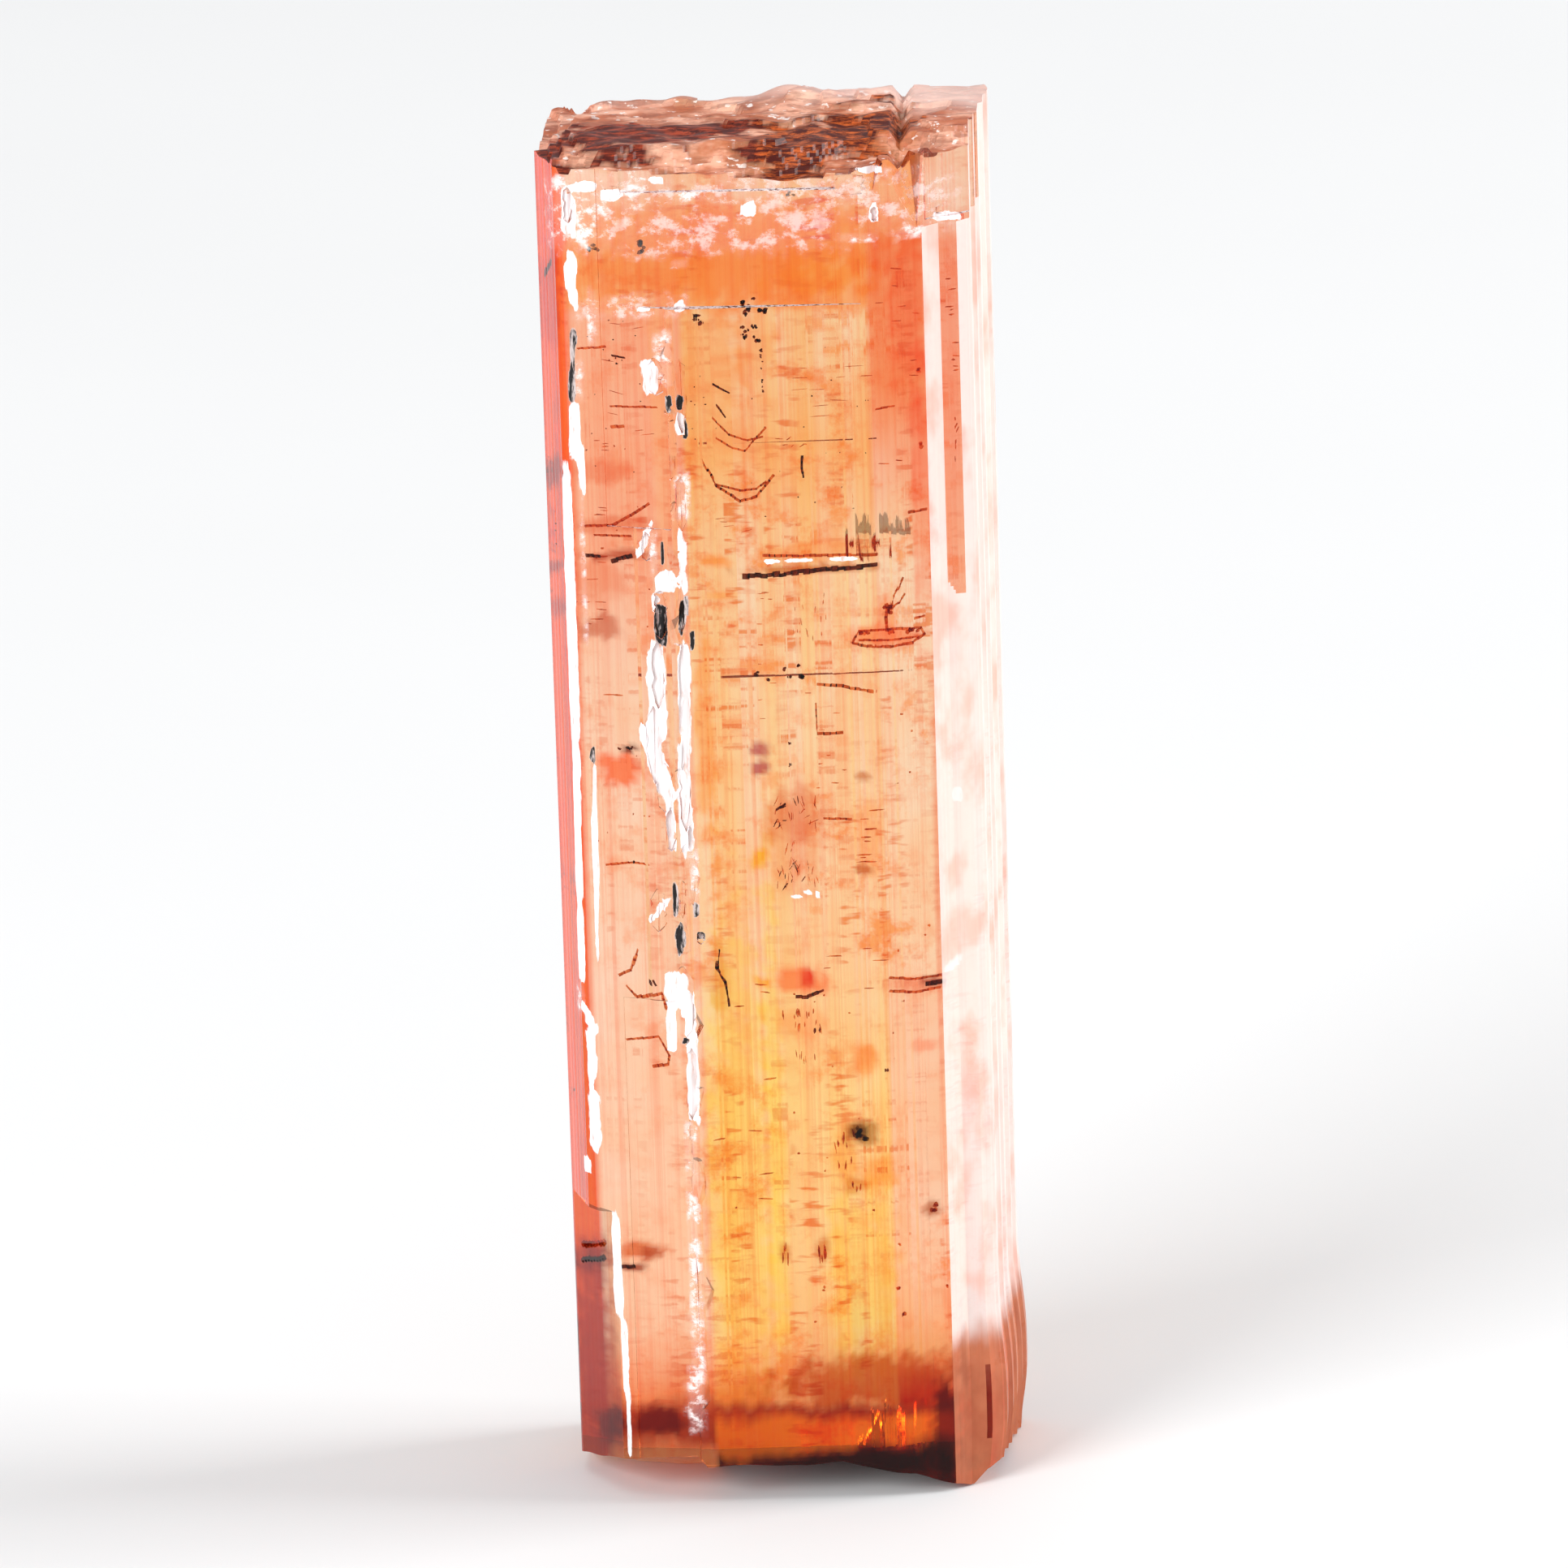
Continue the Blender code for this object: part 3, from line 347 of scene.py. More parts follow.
# Cracks inside: colour, thickness, and the places they run through
CRACKS = (
    ("red", 0.05, ((-2.4, 35.8), (-1.95, 34.9), (-1.2, 34.35), (-0.65, 34.5), (-0.1, 35.2))),
    ("red", 0.035, ((-1.95, 34.95), (-1.2, 34.72), (-0.65, 34.75), (-0.35, 35.0))),
    ("red", 0.03, ((-1.9, 36.5), (-1.4, 36.15), (-1.0, 36.05), (-0.3, 36.8))),
    ("red", 0.03, ((-2.0, 37.2), (-1.5, 36.6), (-0.9, 36.4), (-0.4, 36.5))),
    ("dark", 0.03, ((-1.95, 38.3), (-1.45, 38.0))), ("dark", 0.03, ((-1.85, 37.6), (-1.6, 37.2))),
    ("dark", 0.05, ((0.85, 35.8), (0.83, 35.4), (0.87, 35.1))),
    ("dark", 0.11, ((-1.2, 31.85), (-0.4, 31.8), (0.6, 31.9), (1.9, 31.97), (3.1, 32.08))),
    ("red", 0.05, ((-0.5, 32.5), (1.0, 32.45), (3.1, 32.42))),
    ("red", 0.05, ((2.3, 29.45), (2.8, 29.32), (3.5, 29.28), (4.2, 29.4), (4.6, 29.7))),
    ("red", 0.04, ((2.3, 29.45), (2.5, 29.85), (4.5, 29.9), (4.6, 29.7))),
    ("red", 0.03, ((2.5, 29.55), (3.4, 29.5), (4.4, 29.6))),
    ("red", 0.05, ((3.45, 30.5), (3.65, 31.0), (3.95, 31.6))),
    ("red", 0.04, ((3.5, 30.55), (3.8, 30.75), (4.0, 31.05))),
    ("red", 0.08, ((3.4, 29.9), (3.38, 30.3), (3.45, 30.6))), ("red", 0.04, ((4.3, 30.2), (4.6, 30.3))),
    ("red", 0.06, ((1.15, 28.1), (1.95, 28.0), (2.95, 27.75))),
    ("red", 0.05, ((1.05, 27.4), (1.08, 26.4), (1.9, 26.42))), ("red", 0.03, ((1.2, 23.5), (2.1, 23.45))),
    ("dark", 0.05, ((-0.35, 23.85), (-0.05, 24.05))),
    ("dark", 0.06, ((0.1, 17.4), (0.5, 17.4), (1.0, 17.6))),
    ("red", 0.04, ((3.1, 17.95), (4.0, 17.9), (4.9, 18.0))),
    ("red", 0.04, ((3.1, 17.5), (4.0, 17.45), (4.8, 17.6))), ("dark", 0.14, ((4.35, 17.75), (4.85, 17.8))),
    ("dark", 0.06, ((-2.35, 19.1), (-2.45, 18.5), (-2.2, 18.0), (-2.1, 17.2))),
    ("red", 0.05, ((-5.6, 18.35), (-5.2, 18.5), (-4.95, 19.2))),
    ("red", 0.07, ((-5.35, 17.95), (-5.05, 17.55), (-4.2, 17.65), (-4.1, 17.1))),
    ("dark", 0.05, ((-4.47, 18.1), (-4.4, 17.95))),
    ("red", 0.03, ((-5.9, 22.15), (-4.95, 22.2), (-4.5, 22.1))),
    ("red", 0.03, ((-5.4, 16.1), (-4.35, 16.15))),
    ("red", 0.06, ((-4.35, 16.1), (-4.05, 15.5), (-4.1, 15.2), (-4.6, 15.15))),
    ("dark", 0.09, ((-7.2, 8.35), (-6.4, 8.4))), ("red", 0.1, ((-7.2, 8.9), (-6.4, 8.95))),
    ("dark", 0.07, ((-5.85, 8.2), (-5.4, 8.2))), ("dark", 0.07, ((-6.2, 32.7), (-5.75, 32.65))),
    ("dark", 0.09, ((-5.35, 32.5), (-4.7, 32.62))),
    ("red", 0.04, ((-6.2, 33.7), (-5.3, 33.7), (-4.7, 34.0), (-4.1, 34.35))),
    ("red", 0.03, ((-5.9, 33.4), (-4.7, 33.3))), ("red", 0.03, ((-6.2, 39.7), (-5.3, 39.7))),
    ("red", 0.03, ((-5.2, 37.7), (-3.7, 37.6))), ("dark", 0.025, ((-5.1, 39.4), (-4.7, 39.3))),
    ("red", 0.05, ((-5.2, 37.0), (-4.8, 37.0))), ("red", 0.03, ((3.2, 37.3), (3.8, 37.4))),
    ("red", 0.05, ((4.2, 33.8), (4.8, 33.9))), ("dark", 0.05, ((-7.2, 42.2), (-6.95, 42.6))),
)

# How deep the flaws lie, the size of a crack's plates, and the spread of the flaws' sizes
FLAW_SEED = 8
FLAW_DEPTHS = (0.55 * MM, 0.95 * MM)
LUMP_UNEVENNESS = (0.7, 1.2)
GRAIN_SIZES = (0.6, 1.1)
STREAK_DEPTH = 0.06 * MM
STREAK_LENGTHS = (0.5, 1.2)
STREAK_THICKNESSES = (0.8, 1.6)
CRACK_STEP = 0.2 * MM
CRACK_DEPTH = 0.25 * MM
CRACK_OVERLAP = 1.15
CRACK_WANDER = 0.3
CRACK_THICKNESSES = (0.7, 1.5)

# The colour range of each kind of flaw
FLAW_COLOURS = {
    "dark": ((0.015, 0.004, 0.002), (0.25, 0.07, 0.03)),
    "red": ((0.4, 0.08, 0.02), (0.85, 0.36, 0.16)),
    "green": ((0.1, 0.06, 0.005), (0.5, 0.4, 0.1)),
}

# Splinters gone from the ragged edge: the middle, the lower and upper height, and the width.
# Millimetres.
SLIVERS = (
    (-3.84, (38.0, 39.2), 0.66), (-3.00, (36.7, 39.2), 0.44), (-3.12, (33.5, 35.3), 0.38),
    (-4.30, (32.4, 33.4), 0.34), (-3.90, (30.6, 31.4), 0.50), (-4.06, (27.4, 29.7), 0.46),
    (-4.22, (24.9, 27.5), 0.66), (-3.95, (23.9, 25.6), 0.60), (-3.81, (22.5, 24.0), 0.38),
    (-3.24, (25.0, 29.8), 0.40), (-3.28, (23.3, 25.5), 0.44), (-3.16, (20.7, 23.5), 0.24),
    (-4.30, (19.8, 21.2), 0.56), (-3.60, (16.1, 18.6), 0.90), (-3.40, (13.4, 15.8), 0.46),
    (-3.57, (11.2, 12.7), 0.32), (-3.54, (4.6, 10.8), 0.30), (-3.90, (29.8, 30.9), 0.42),
    (-3.22, (30.1, 31.6), 0.22), (-3.50, (20.3, 21.6), 0.22), (-2.95, (19.4, 19.8), 0.26),
    (-0.6, (43.9, 44.3), 0.50), (-5.0, (44.6, 44.9), 0.7), (5.7, (43.55, 43.85), 0.8),
    (-6.45, (43.6, 44.8), 0.4), (3.4, (43.6, 44.1), 0.24), (2.6, (44.5, 45.2), 1.2),
    (-2.4, (44.4, 45.0), 1.3),
)
SLIVER_SEED = 5
SLIVER_STEPS = 9
SLIVER_REACH = 0.5 * MM
SLIVER_DEPTH = 0.16 * MM

# Their outline, as shares of the width, the steps and the depth: how soon it is full, how blunt its
# tips are, and how uneven it is
SLIVER_FULLNESS = 2.4
SLIVER_TIP = 0.12
SLIVER_WIDTHS = (0.55, 1.0)
SLIVER_SHIFT = 0.3
SLIVER_DEPTHS = (0.5, 1.0)

# Size of the cells of the broken ends, and how far cutters reach past the crystal
BREAK_CELL = 0.1 * MM
MARGIN = 1.0 * MM
CUTTER_REACH = 3.0 * MARGIN

# The front is divided for its finishes and stains: into rows of this height, and where a face is
# wide into columns too. No cut comes nearer to a corner than the last of these.
ROW_HEIGHT = 0.13 * MM
WIDE_FACE = 0.3 * MM
COLUMN_WIDTH = 0.17 * MM
NEAREST_CUT = 0.001 * MM

# The photograph's camera, as fitted to the crystal's outline
CAMERA_ELEVATION = math.radians(17.0)
CAMERA_ROLL = math.radians(-1.8)
CAMERA_DISTANCE = 420.0 * MM
CAMERA_TARGET = Vector((0.0, 0.0, 23.5 * MM))
CAMERA_LENS = 292.5
CAMERA_SENSOR = 36.0
CAMERA_CLIP = (0.01, 10.0)
PHOTO_PIXELS = 1932
TARGET_PIXELS_RIGHT_OF_CENTRE = 2.5

# What the front leaves of white light, from the base up; near black, deep red and glow stand for
# painted shade and a painted glow of the broken base
AMBER = (1.0, 0.2, 0.02)
CHESTNUT = (0.8, 0.1, 0.01)
PINK = (1.0, 0.94, 1.0)
DEEP_PINK = (1.0, 0.88, 0.88)
ROSE = (1.0, 0.68, 0.62)
CORAL = (1.0, 0.52, 0.44)
PEACH = (1.0, 1.0, 0.96)
YELLOW = (1.0, 1.0, 0.67)
GOLD = (1.0, 0.74, 0.46)
TANGERINE = (1.0, 0.62, 0.36)
BASE_PAINTED_GLOW = (1.0, 0.3, 0.03)
RED = (0.98, 0.44, 0.26)
BASE_SHADE_RED = (0.5, 0.07, 0.02)
BASE_SHADE_BLACK = (0.12, 0.005, 0.002)
NEAR_WHITE = (1.0, 1.0, 1.0)
BACK_TINT = (1.0, 0.93, 0.88)

# Columns of colour across the front: where each starts along X, and its tints by height, all in
# millimetres as seen from the front. The near black, deep red and glow bands below about 4 mm are
# painted shade and painted glow of the broken base.
COLUMNS = (
    (-9.0, ((0.5, CHESTNUT), (8.0, CHESTNUT), (9.8, AMBER), (46.0, AMBER))),
    (-6.6, ((1.7, RED), (2.2, BASE_SHADE_RED), (3.0, BASE_SHADE_RED), (3.8, RED), (6.0, DEEP_PINK), (14.0, PINK),
            (28.0, PINK), (33.0, ROSE), (40.7, ROSE), (41.0, TANGERINE), (43.8, TANGERINE),
            (44.6, DEEP_PINK))),
    (-2.95, ((1.35, BASE_SHADE_BLACK), (1.75, BASE_PAINTED_GLOW), (2.6, BASE_PAINTED_GLOW), (2.95, BASE_SHADE_RED), (3.3, TANGERINE), (4.6, GOLD),
             (6.0, YELLOW), (14.0, YELLOW), (19.0, PEACH), (32.0, PEACH), (36.0, GOLD), (40.7, PEACH),
             (41.0, TANGERINE), (43.8, TANGERINE), (44.6, DEEP_PINK))),
    (3.13, ((1.0, BASE_SHADE_BLACK), (1.4, BASE_SHADE_BLACK), (1.9, BASE_PAINTED_GLOW), (2.5, BASE_PAINTED_GLOW), (3.0, BASE_SHADE_RED), (3.6, CHESTNUT),
            (4.8, TANGERINE), (8.0, DEEP_PINK), (17.0, DEEP_PINK), (19.0, NEAR_WHITE), (33.0, NEAR_WHITE),
            (35.5, ROSE), (38.0, RED), (43.0, RED), (43.8, TANGERINE), (45.5, TANGERINE))),
    (4.9, ((0.0, BASE_SHADE_RED), (3.5, BASE_SHADE_RED), (5.5, ROSE), (10.0, DEEP_PINK), (26.0, DEEP_PINK), (36.0, CORAL),
           (43.0, CORAL), (44.0, DEEP_PINK))),
)
COLUMN_EDGE = 0.06

# Noises that are added up to make what is painted uneven: the height of each, how many lumps it has
# in a millimetre along X, Y and Z, and its seed
COLUMN_WAVES = ((0.45, (0.7, 0.7, 0.7), 2.0), (0.15, (4.0, 4.0, 0.4), 6.0))
STAIN_AND_SHADE_WAVES = ((0.5, (2.2, 2.2, 1.6), 9.0), (0.3, (6.0, 6.0, 4.0), 4.0))
FINISH_AND_LIGHT_WAVES = ((0.25, (5.0, 5.0, 1.6), 3.0), (0.2, (11.0, 11.0, 3.0), 5.0))
PATCH_WAVES = ((0.6, (0.8, 2.2, 2.0), 1.0), (0.3, (3.0, 7.0, 5.0), 8.0))
BEVEL_WAVES = ((1.0, (3.0, 3.0, 1.0), 3.0),)

# Where a patch starts and is whole, as shares of its size, and how square its corners are
STAIN_AND_SHADE_FADE = (1.4, 0.6)
STAIN_AND_SHADE_POWER = 2.5
FINISH_AND_LIGHT_FADE = (1.35, 0.75)
FINISH_AND_LIGHT_POWER = 4.0
PATCH_FADE = (1.15, 0.85)

# Where the tones of the front take over from the back's, in millimetres along Y
BACK_TO_FRONT = (0.6, -0.6)

# How much of white light the clear surface mirrors straight on, beside what its index gives
SHEEN = (0.25, 0.25, 0.25)

# Plane whose heights are those seen from the front, in millimetres along Y, and how steeply the
# camera's line of sight runs down inside the crystal
RULED_Y = -4.0
REFRACTED_ELEVATION = math.radians(10.4)

# Names of the material, of the slot that marks the broken top while it is cut, and of the layers
# that hold the tones, the finishes, painted highlights and painted shade of the front, and those of
# the right side and the top, with the top's painted shade
CLEAR = "clear_topaz"
BROKEN = "broken_topaz"
TONES = "tones"
FINISH_AND_LIGHT_LAYER = "finishes_and_painted_light"
SIDE_LAYER = "sides"

# Which faces count as the front, and where the etched right side starts, ends and faces. The
# narrow bevel beside it is etched only in its lower part. Millimetres.
FRONT_FACING = -0.15
FROST_START = 4.9
FROST_TOP = 43.3
FROST_FACING = 0.5
BEVEL_SPAN = (5.45, 6.08)
BEVEL_TOP = 31.0

# Finishes of the front: what each is painted as, how strongly, and how ragged its edges are. White
# and line are painted highlight, dark is painted shade
WHITE, MILKY, DARK = range(3)
FINISH_AND_LIGHT_KINDS = {
    "white": (WHITE, 1.0, 1.0),
    "line": (WHITE, 1.0, 0.3),
    "milky": (MILKY, 1.0, 1.0),
    "cloudy": (MILKY, 0.5, 1.4),
    "dark": (DARK, 1.0, 0.8),
}

# Upward steps of the front's ledges get a painted highlight in white
STEP_FACING = 0.7
STEP_HIGHLIGHT = 0.55

# Patterns of noise on the crystal: how many lumps there are in a millimetre along X, Y and Z, and
# which of its values show, where it runs from 0 to 1
BUSY = dict(scale=(0.32, 0.32, 0.16), offset=(4.4, 0.0, 0.0), detail=1.0, shown=(0.4, 0.6), start=0.3)
RUNGS = dict(scale=(0.9, 0.9, 3.6), detail=2.0, shown=(0.54, 0.66))
RUNG_COLUMNS = dict(scale=(1.5, 1.5, 0.1), offset=(3.1, 0.0, 0.0), detail=0.0, shown=(0.5, 0.6))
BLOTCHES = dict(scale=(0.8, 0.8, 0.9), offset=(0.0, 7.7, 0.0), detail=5.0, roughness=0.68, shown=(0.48, 0.67))
BLUSH = dict(scale=(0.4, 0.4, 0.3), offset=(0.0, 1.1, 0.0), detail=1.0, shown=(0.4, 0.62))
BANDS = dict(scale=(1.1, 1.1, 0.03), offset=(8.1, 0.0, 0.0), detail=1.0, shown=(0.42, 0.6))
VEIL = dict(scale=(1.3, 1.3, 1.8), offset=(2.2, 0.0, 0.0), detail=5.0, roughness=0.68, shown=(0.44, 0.66))
FROST_CLOUDS = dict(scale=(0.9, 0.5, 0.45), shown=(0.48, 0.7))
BREAK_CLOUDS = dict(scale=(0.5, 0.9, 0.9), detail=4.0, roughness=0.6, shown=(0.4, 0.6))
BREAK_STREAKS = dict(scale=(0.8, 2.8, 4.0), detail=6.0, roughness=0.7, shown=(0.46, 0.6), end=0.8)
BREAK_GLINTS = dict(scale=(2.6, 4.0, 5.0), offset=(2.0, 0.0, 0.0), shown=(0.62, 0.68))
TOP_SHADE_LAYERS = dict(scale=(1.2, 4.0, 9.0), detail=5.0, roughness=0.75, shown=(0.44, 0.64))
FLAW_GRAIN = dict(scale=(5.0, 5.0, 5.0), shown=(0.35, 0.65))

# Noises that are read as they are
FINE_LINES = dict(scale=(7.0, 7.0, 0.05), offset=(1.7, 0.0, 0.0))
FIBRES = dict(scale=(6.0, 6.0, 1.3), detail=4.0, roughness=0.6)
BASE_MOTTLE = dict(scale=(1.2, 1.2, 0.8))
BASE_WAVER = dict(scale=(1.5, 1.5, 0.4))
FLOOR_CLOUDS = dict(scale=(0.02, 0.02, 0.02))

# What the marks of the clear crystal leave of white light
RUNG_TINT = (0.9, 0.48, 0.28)
BLOTCH_TINT = (0.98, 0.58, 0.32)
BLUSH_TINT = (1.0, 0.94, 0.88)
BAND_TINT = (1.0, 0.95, 0.8)
LINE_TINT = (0.98, 0.62, 0.52)

# Marks are quieter at the left, and the upright bands keep to the broad face: millimetres along X
QUIET_LEFT = (-4.6, -2.2)
QUIET = 0.6
BROAD_LEFT = (-3.1, -2.8)
BROAD_RIGHT = (3.0, 3.2)

# Fine upright lines: which of their noise shows, how strongly, and how deep they look
LINES_SHOWN = (0.45, 0.7)
LINE_STRENGTH = 0.45
LINE_DEPTH = 0.01 * MM
LINE_BUMP = 0.5

# The etched right side, near white partly from its etching and partly as a painted reflection of the
# light at the right, and the uneven height up to which its base has painted brown shade, in millimetres
FROST_AND_SHEEN_PALE = (1.0, 0.92, 0.88)
FROST_PINK = (1.0, 0.64, 0.56)
SIDE_SHADE_BROWN = (0.36, 0.06, 0.02)
SIDE_SHADE_TAN = (0.8, 0.28, 0.13)
BASE_WAVER_HEIGHT = 1.4
BASE_EDGE = (5.4, 6.6)

# The broken top, whose white is painted glints, and where along Y it gets paler towards the back,
# nearer at the right
BREAK_PALE = (0.96, 0.52, 0.37)
BREAK_BROWN = (0.52, 0.15, 0.07)
BREAK_DARK = (0.3, 0.07, 0.035)
BREAK_GLINT_WHITE = (1.0, 0.95, 0.92)
BREAK_BACK = (0.97, 0.76, 0.7)
BREAK_FADE = (2.2, 4.4)
BREAK_FADED = 0.7
BREAK_LEAN = 0.45

# Its painted shade, and where along X it turns from brown red to orange brown
TOP_SHADE_DARK = (0.07, 0.005, 0.002)
TOP_SHADE_LEFT = (0.38, 0.05, 0.015)
TOP_SHADE_RIGHT = (0.62, 0.12, 0.02)
TOP_SHADE_TURN = (-0.6, 0.0)

# Painted highlight in white, milky finish and painted shade in near black, with painted glints in
# the shade, and the values of the fibres' noise at which each starts and is whole: where their edges
# break up, where white is thin, and where white and dark take another shade
WHITE_PALE = (1.0, 0.97, 0.99)
WHITE_SHADED = (0.9, 0.74, 0.72)
MILK = (1.0, 0.86, 0.82)
MILK_STRENGTH = 0.6
SHADE_BLACK = (0.01, 0.008, 0.008)
SHADE_GLINT = (0.6, 0.5, 0.48)
BREAKUP_EDGE = (0.42, 0.6)
THIN_FIBRES = (0.6, 0.75)
WHITE_FIBRES = (0.5, 0.7)
SHADE_FIBRES = (0.5, 0.62)

# How much each finish covers the clear crystal, and how rough it and what lies over it are
WHITE_COVER = 0.92
THIN_COVER = 0.6
VEIL_THINNEST = 0.12
FROST_COVER = 0.68
BREAK_COVER = 0.72
POLISH = 0.015
FROST_ROUGHNESS = 0.3
BREAK_ROUGHNESS = 0.5
SOLID_ROUGHNESS = 0.4
SOLID_SPECULAR = 0.3

# The studio: a pale floor, soft lights and a pale sky, in metres and watts
FLOOR_RADIUS = 1.6
FLOOR_SIDES = 96
FLOOR_GAP = 0.05 * MM
FLOOR_GREY = (0.8, 0.8, 0.8)
FLOOR_PALE = (0.84, 0.84, 0.84)
FLOOR_ROUGHNESS = 0.9
FLOOR_SPECULAR = 0.2
LIGHTS = {
    "top_softbox": dict(place=(0.0, 0.1, 0.9), target=(0.0, 0.0, 0.0), size=(0.9, 0.9), power=1.5),
    "key_softbox": dict(place=(-0.6, -0.6, 0.42), target=(0.0, 0.0, 0.02), size=(0.5, 0.5), power=7.4),
    "right_softbox": dict(place=(0.8, 0.05, 0.4), target=(0.0, 0.0, 0.02), size=(0.4, 0.5), power=6.5),
}
SKY_COLOUR = (0.96, 0.98, 1.0)
SKY_STRENGTH = 0.46

# How often light is followed through the crystal, and how bright it may get on the way
BOUNCES = 20
BRIGHTEST_INDIRECT = 6.0

# Patches of painted shade in dark brown red on the broken top: middle and half widths, in
# millimetres, and how far each leans
DARK_PATCHES = (
    ((-4.9, -1.0), (1.9, 2.4), 0.0), ((-2.3, -0.6), (2.1, 1.6), 0.1), ((1.0, -1.7), (1.7, 2.3), 0.5),
    ((3.0, -0.7), (1.9, 2.0), 0.3), ((-7.0, -1.5), (0.6, 1.3), 0.0), ((-6.9, -3.2), (0.6, 0.4), 0.0),
)


def turn_of(face):
    """Angle of a face's normal from -Y, positive towards +X."""
    def pole(indices):
        return math.atan2(indices[1] * AXIAL_RATIO, indices[0])
    return pole(face) - pole(FRONT)


def tangent_of(face):
    turn = turn_of(face)
    return Vector((math.cos(turn), math.sin(turn)))


def section_outline():
    """Corners of the cross-section, walked counter-clockwise from SECTION_START."""
    known = Vector((0.0, 0.0))
    for face, width in SECTION_WALK:
        if width is not None:
            known += tangent_of(face) * width * MM
    first, second = [tangent_of(face) for face, width in SECTION_WALK if width is None]
    spread = first.x * second.y - first.y * second.x
    closing = [(known.y * second.x - known.x * second.y) / spread,
               (known.x * first.y - known.y * first.x) / spread]
    corners = [SECTION_START.copy()]
    for face, width in SECTION_WALK[:-1]:
        length = closing.pop(0) if width is None else width * MM
        corners.append(corners[-1] + tangent_of(face) * length)
    return corners


def striated(corners, chance):
    """The outline with its faces split into strips, every other line sunk inwards a little."""
    points = []
    for start, end in zip(corners, corners[1:] + corners[:1]):
        points.append(start)
        length = (end - start).length
        inward = Vector((-(end - start).y, (end - start).x)) / length
        place = chance.uniform(*STRIP_WIDTHS)
        while place < length - STRIP_WIDTHS[0]:
            sink = STRIP_DEPTH * chance.uniform(0.0, 1.0) ** 2
            points.append(start + (end - start) * (place / length) + inward * sink)
            place += chance.uniform(*STRIP_WIDTHS)
    return points


def smooth_step(value, low, high):
    """Smooth rise from 0 at low to 1 at high, of a number or an array."""
    t = np.clip((value - low) / (high - low), 0.0, 1.0)
    return t * t * (3.0 - 2.0 * t)


def along(table, value):
    """Straight-line reading of a table of (place, amount) pairs."""
    for (place_a, amount_a), (place_b, amount_b) in zip(table, table[1:]):
        if value <= place_b:
            t = max(value - place_a, 0.0) / (place_b - place_a)
            return amount_a + (amount_b - amount_a) * t
    return table[-1][1]


def rough(x, y, height, stretch, size, seed):
    """Noise up to about the given height either way, its lumps drawn out along X."""
    return height * noise.noise(Vector((x / (size * stretch), y / size, seed)))


def top_height(x, y):
    """Broken top: a low front shelf, thin cleavage terraces drawn out sideways, a peak and a notch."""
    shelf_edge = SHELF_EDGE + SHELF_BEND * smooth_step(x, *SHELF_BEND_SPAN) + rough(x, 0.0, **SHELF_WANDER)
    rise = TOP_RISE * smooth_step(y, shelf_edge, shelf_edge + TOP_RISE_RUN)
    rise += TOP_RIGHT_RISE * smooth_step(x, *TOP_RIGHT_SPAN)
    rise -= TOP_LEFT_FALL * smooth_step(-x, *TOP_LEFT_SPAN)
    smooth_level = TOP_FRONT + rise + rough(x, y, **TOP_SWELLS)
    level = round(smooth_level / TOP_TERRACE) * TOP_TERRACE
    peak = TOP_PEAK * math.exp(-((Vector((x, y)) - TOP_PEAK_PLACE).length / TOP_PEAK_SPREAD) ** 2)
    notch_line = NOTCH_X + NOTCH_LEAN * (y - 0.5 * DEPTH)
    notch = NOTCH_DEPTH * max(0.0, 1.0 - abs(x - notch_line) / NOTCH_HALF_WIDTH)
    return level + rough(x, y, **TOP_GRAIN) + peak - notch


def base_height(x, y):
    """Broken base: below zero where the crystal rests on its cleavage, above it where it is chipped."""
    lift = along(BASE_LIFT, x / MM) * MM
    behind_front = max(y + 0.5 * DEPTH, 0.0) / (along(BASE_RUN_OUT, x / MM) * MM)
    return lift * (1.0 - behind_front ** BASE_CURVE) - BASE_SINK + rough(x, y, **BASE_GRAIN)


def swell_at(x, z):
    """How far the lower right side stands out at a point."""
    foot = smooth_step(z, 0.0, SWELL_FOOT)
    crown = 1.0 - smooth_step(z, *SWELL_CROWN)
    return SWELL * foot * crown * smooth_step(x, *SWELL_SIDE)


def add_object(name, shape, material):
    """A new object from a bmesh, which is freed."""
    mesh = bpy.data.meshes.new(name)
    shape.to_mesh(mesh)
    shape.free()
    mesh.materials.append(material)
    return link(bpy.data.objects.new(name, mesh))


def link(made):
    bpy.context.scene.collection.objects.link(made)
    return made


def prism(name, material):
    """The striated section drawn out to the full height, with its lower right side swollen."""
    outline = striated(section_outline(), random.Random(STRIP_SEED))
    shape = bmesh.new()
    low = [shape.verts.new((p.x, p.y, -MARGIN)) for p in outline]
    shape.faces.new(reversed(low))
    swept = bmesh.ops.extrude_edge_only(shape, edges=shape.edges[:])["geom"]
    high = [v for v in swept if isinstance(v, bmesh.types.BMVert)]
    bmesh.ops.translate(shape, verts=high, vec=(0.0, 0.0, HEIGHT + 2.0 * MARGIN))
    top_edges = [e for e in swept if isinstance(e, bmesh.types.BMEdge) and all(v in high for v in e.verts)]
    bmesh.ops.contextual_create(shape, geom=top_edges)
    bmesh.ops.recalc_face_normals(shape, faces=shape.faces)
    for level in range(SWELL_LEVELS + 1):
        height = SWELL_CROWN[1] * level / SWELL_LEVELS
        everything = shape.verts[:] + shape.edges[:] + shape.faces[:]
        bmesh.ops.bisect_plane(shape, geom=everything, plane_co=(0.0, 0.0, height), plane_no=(0.0, 0.0, 1.0))
    for vert in shape.verts:
        vert.co.x += swell_at(vert.co.x, vert.co.z)
    return add_object(name, shape, material)


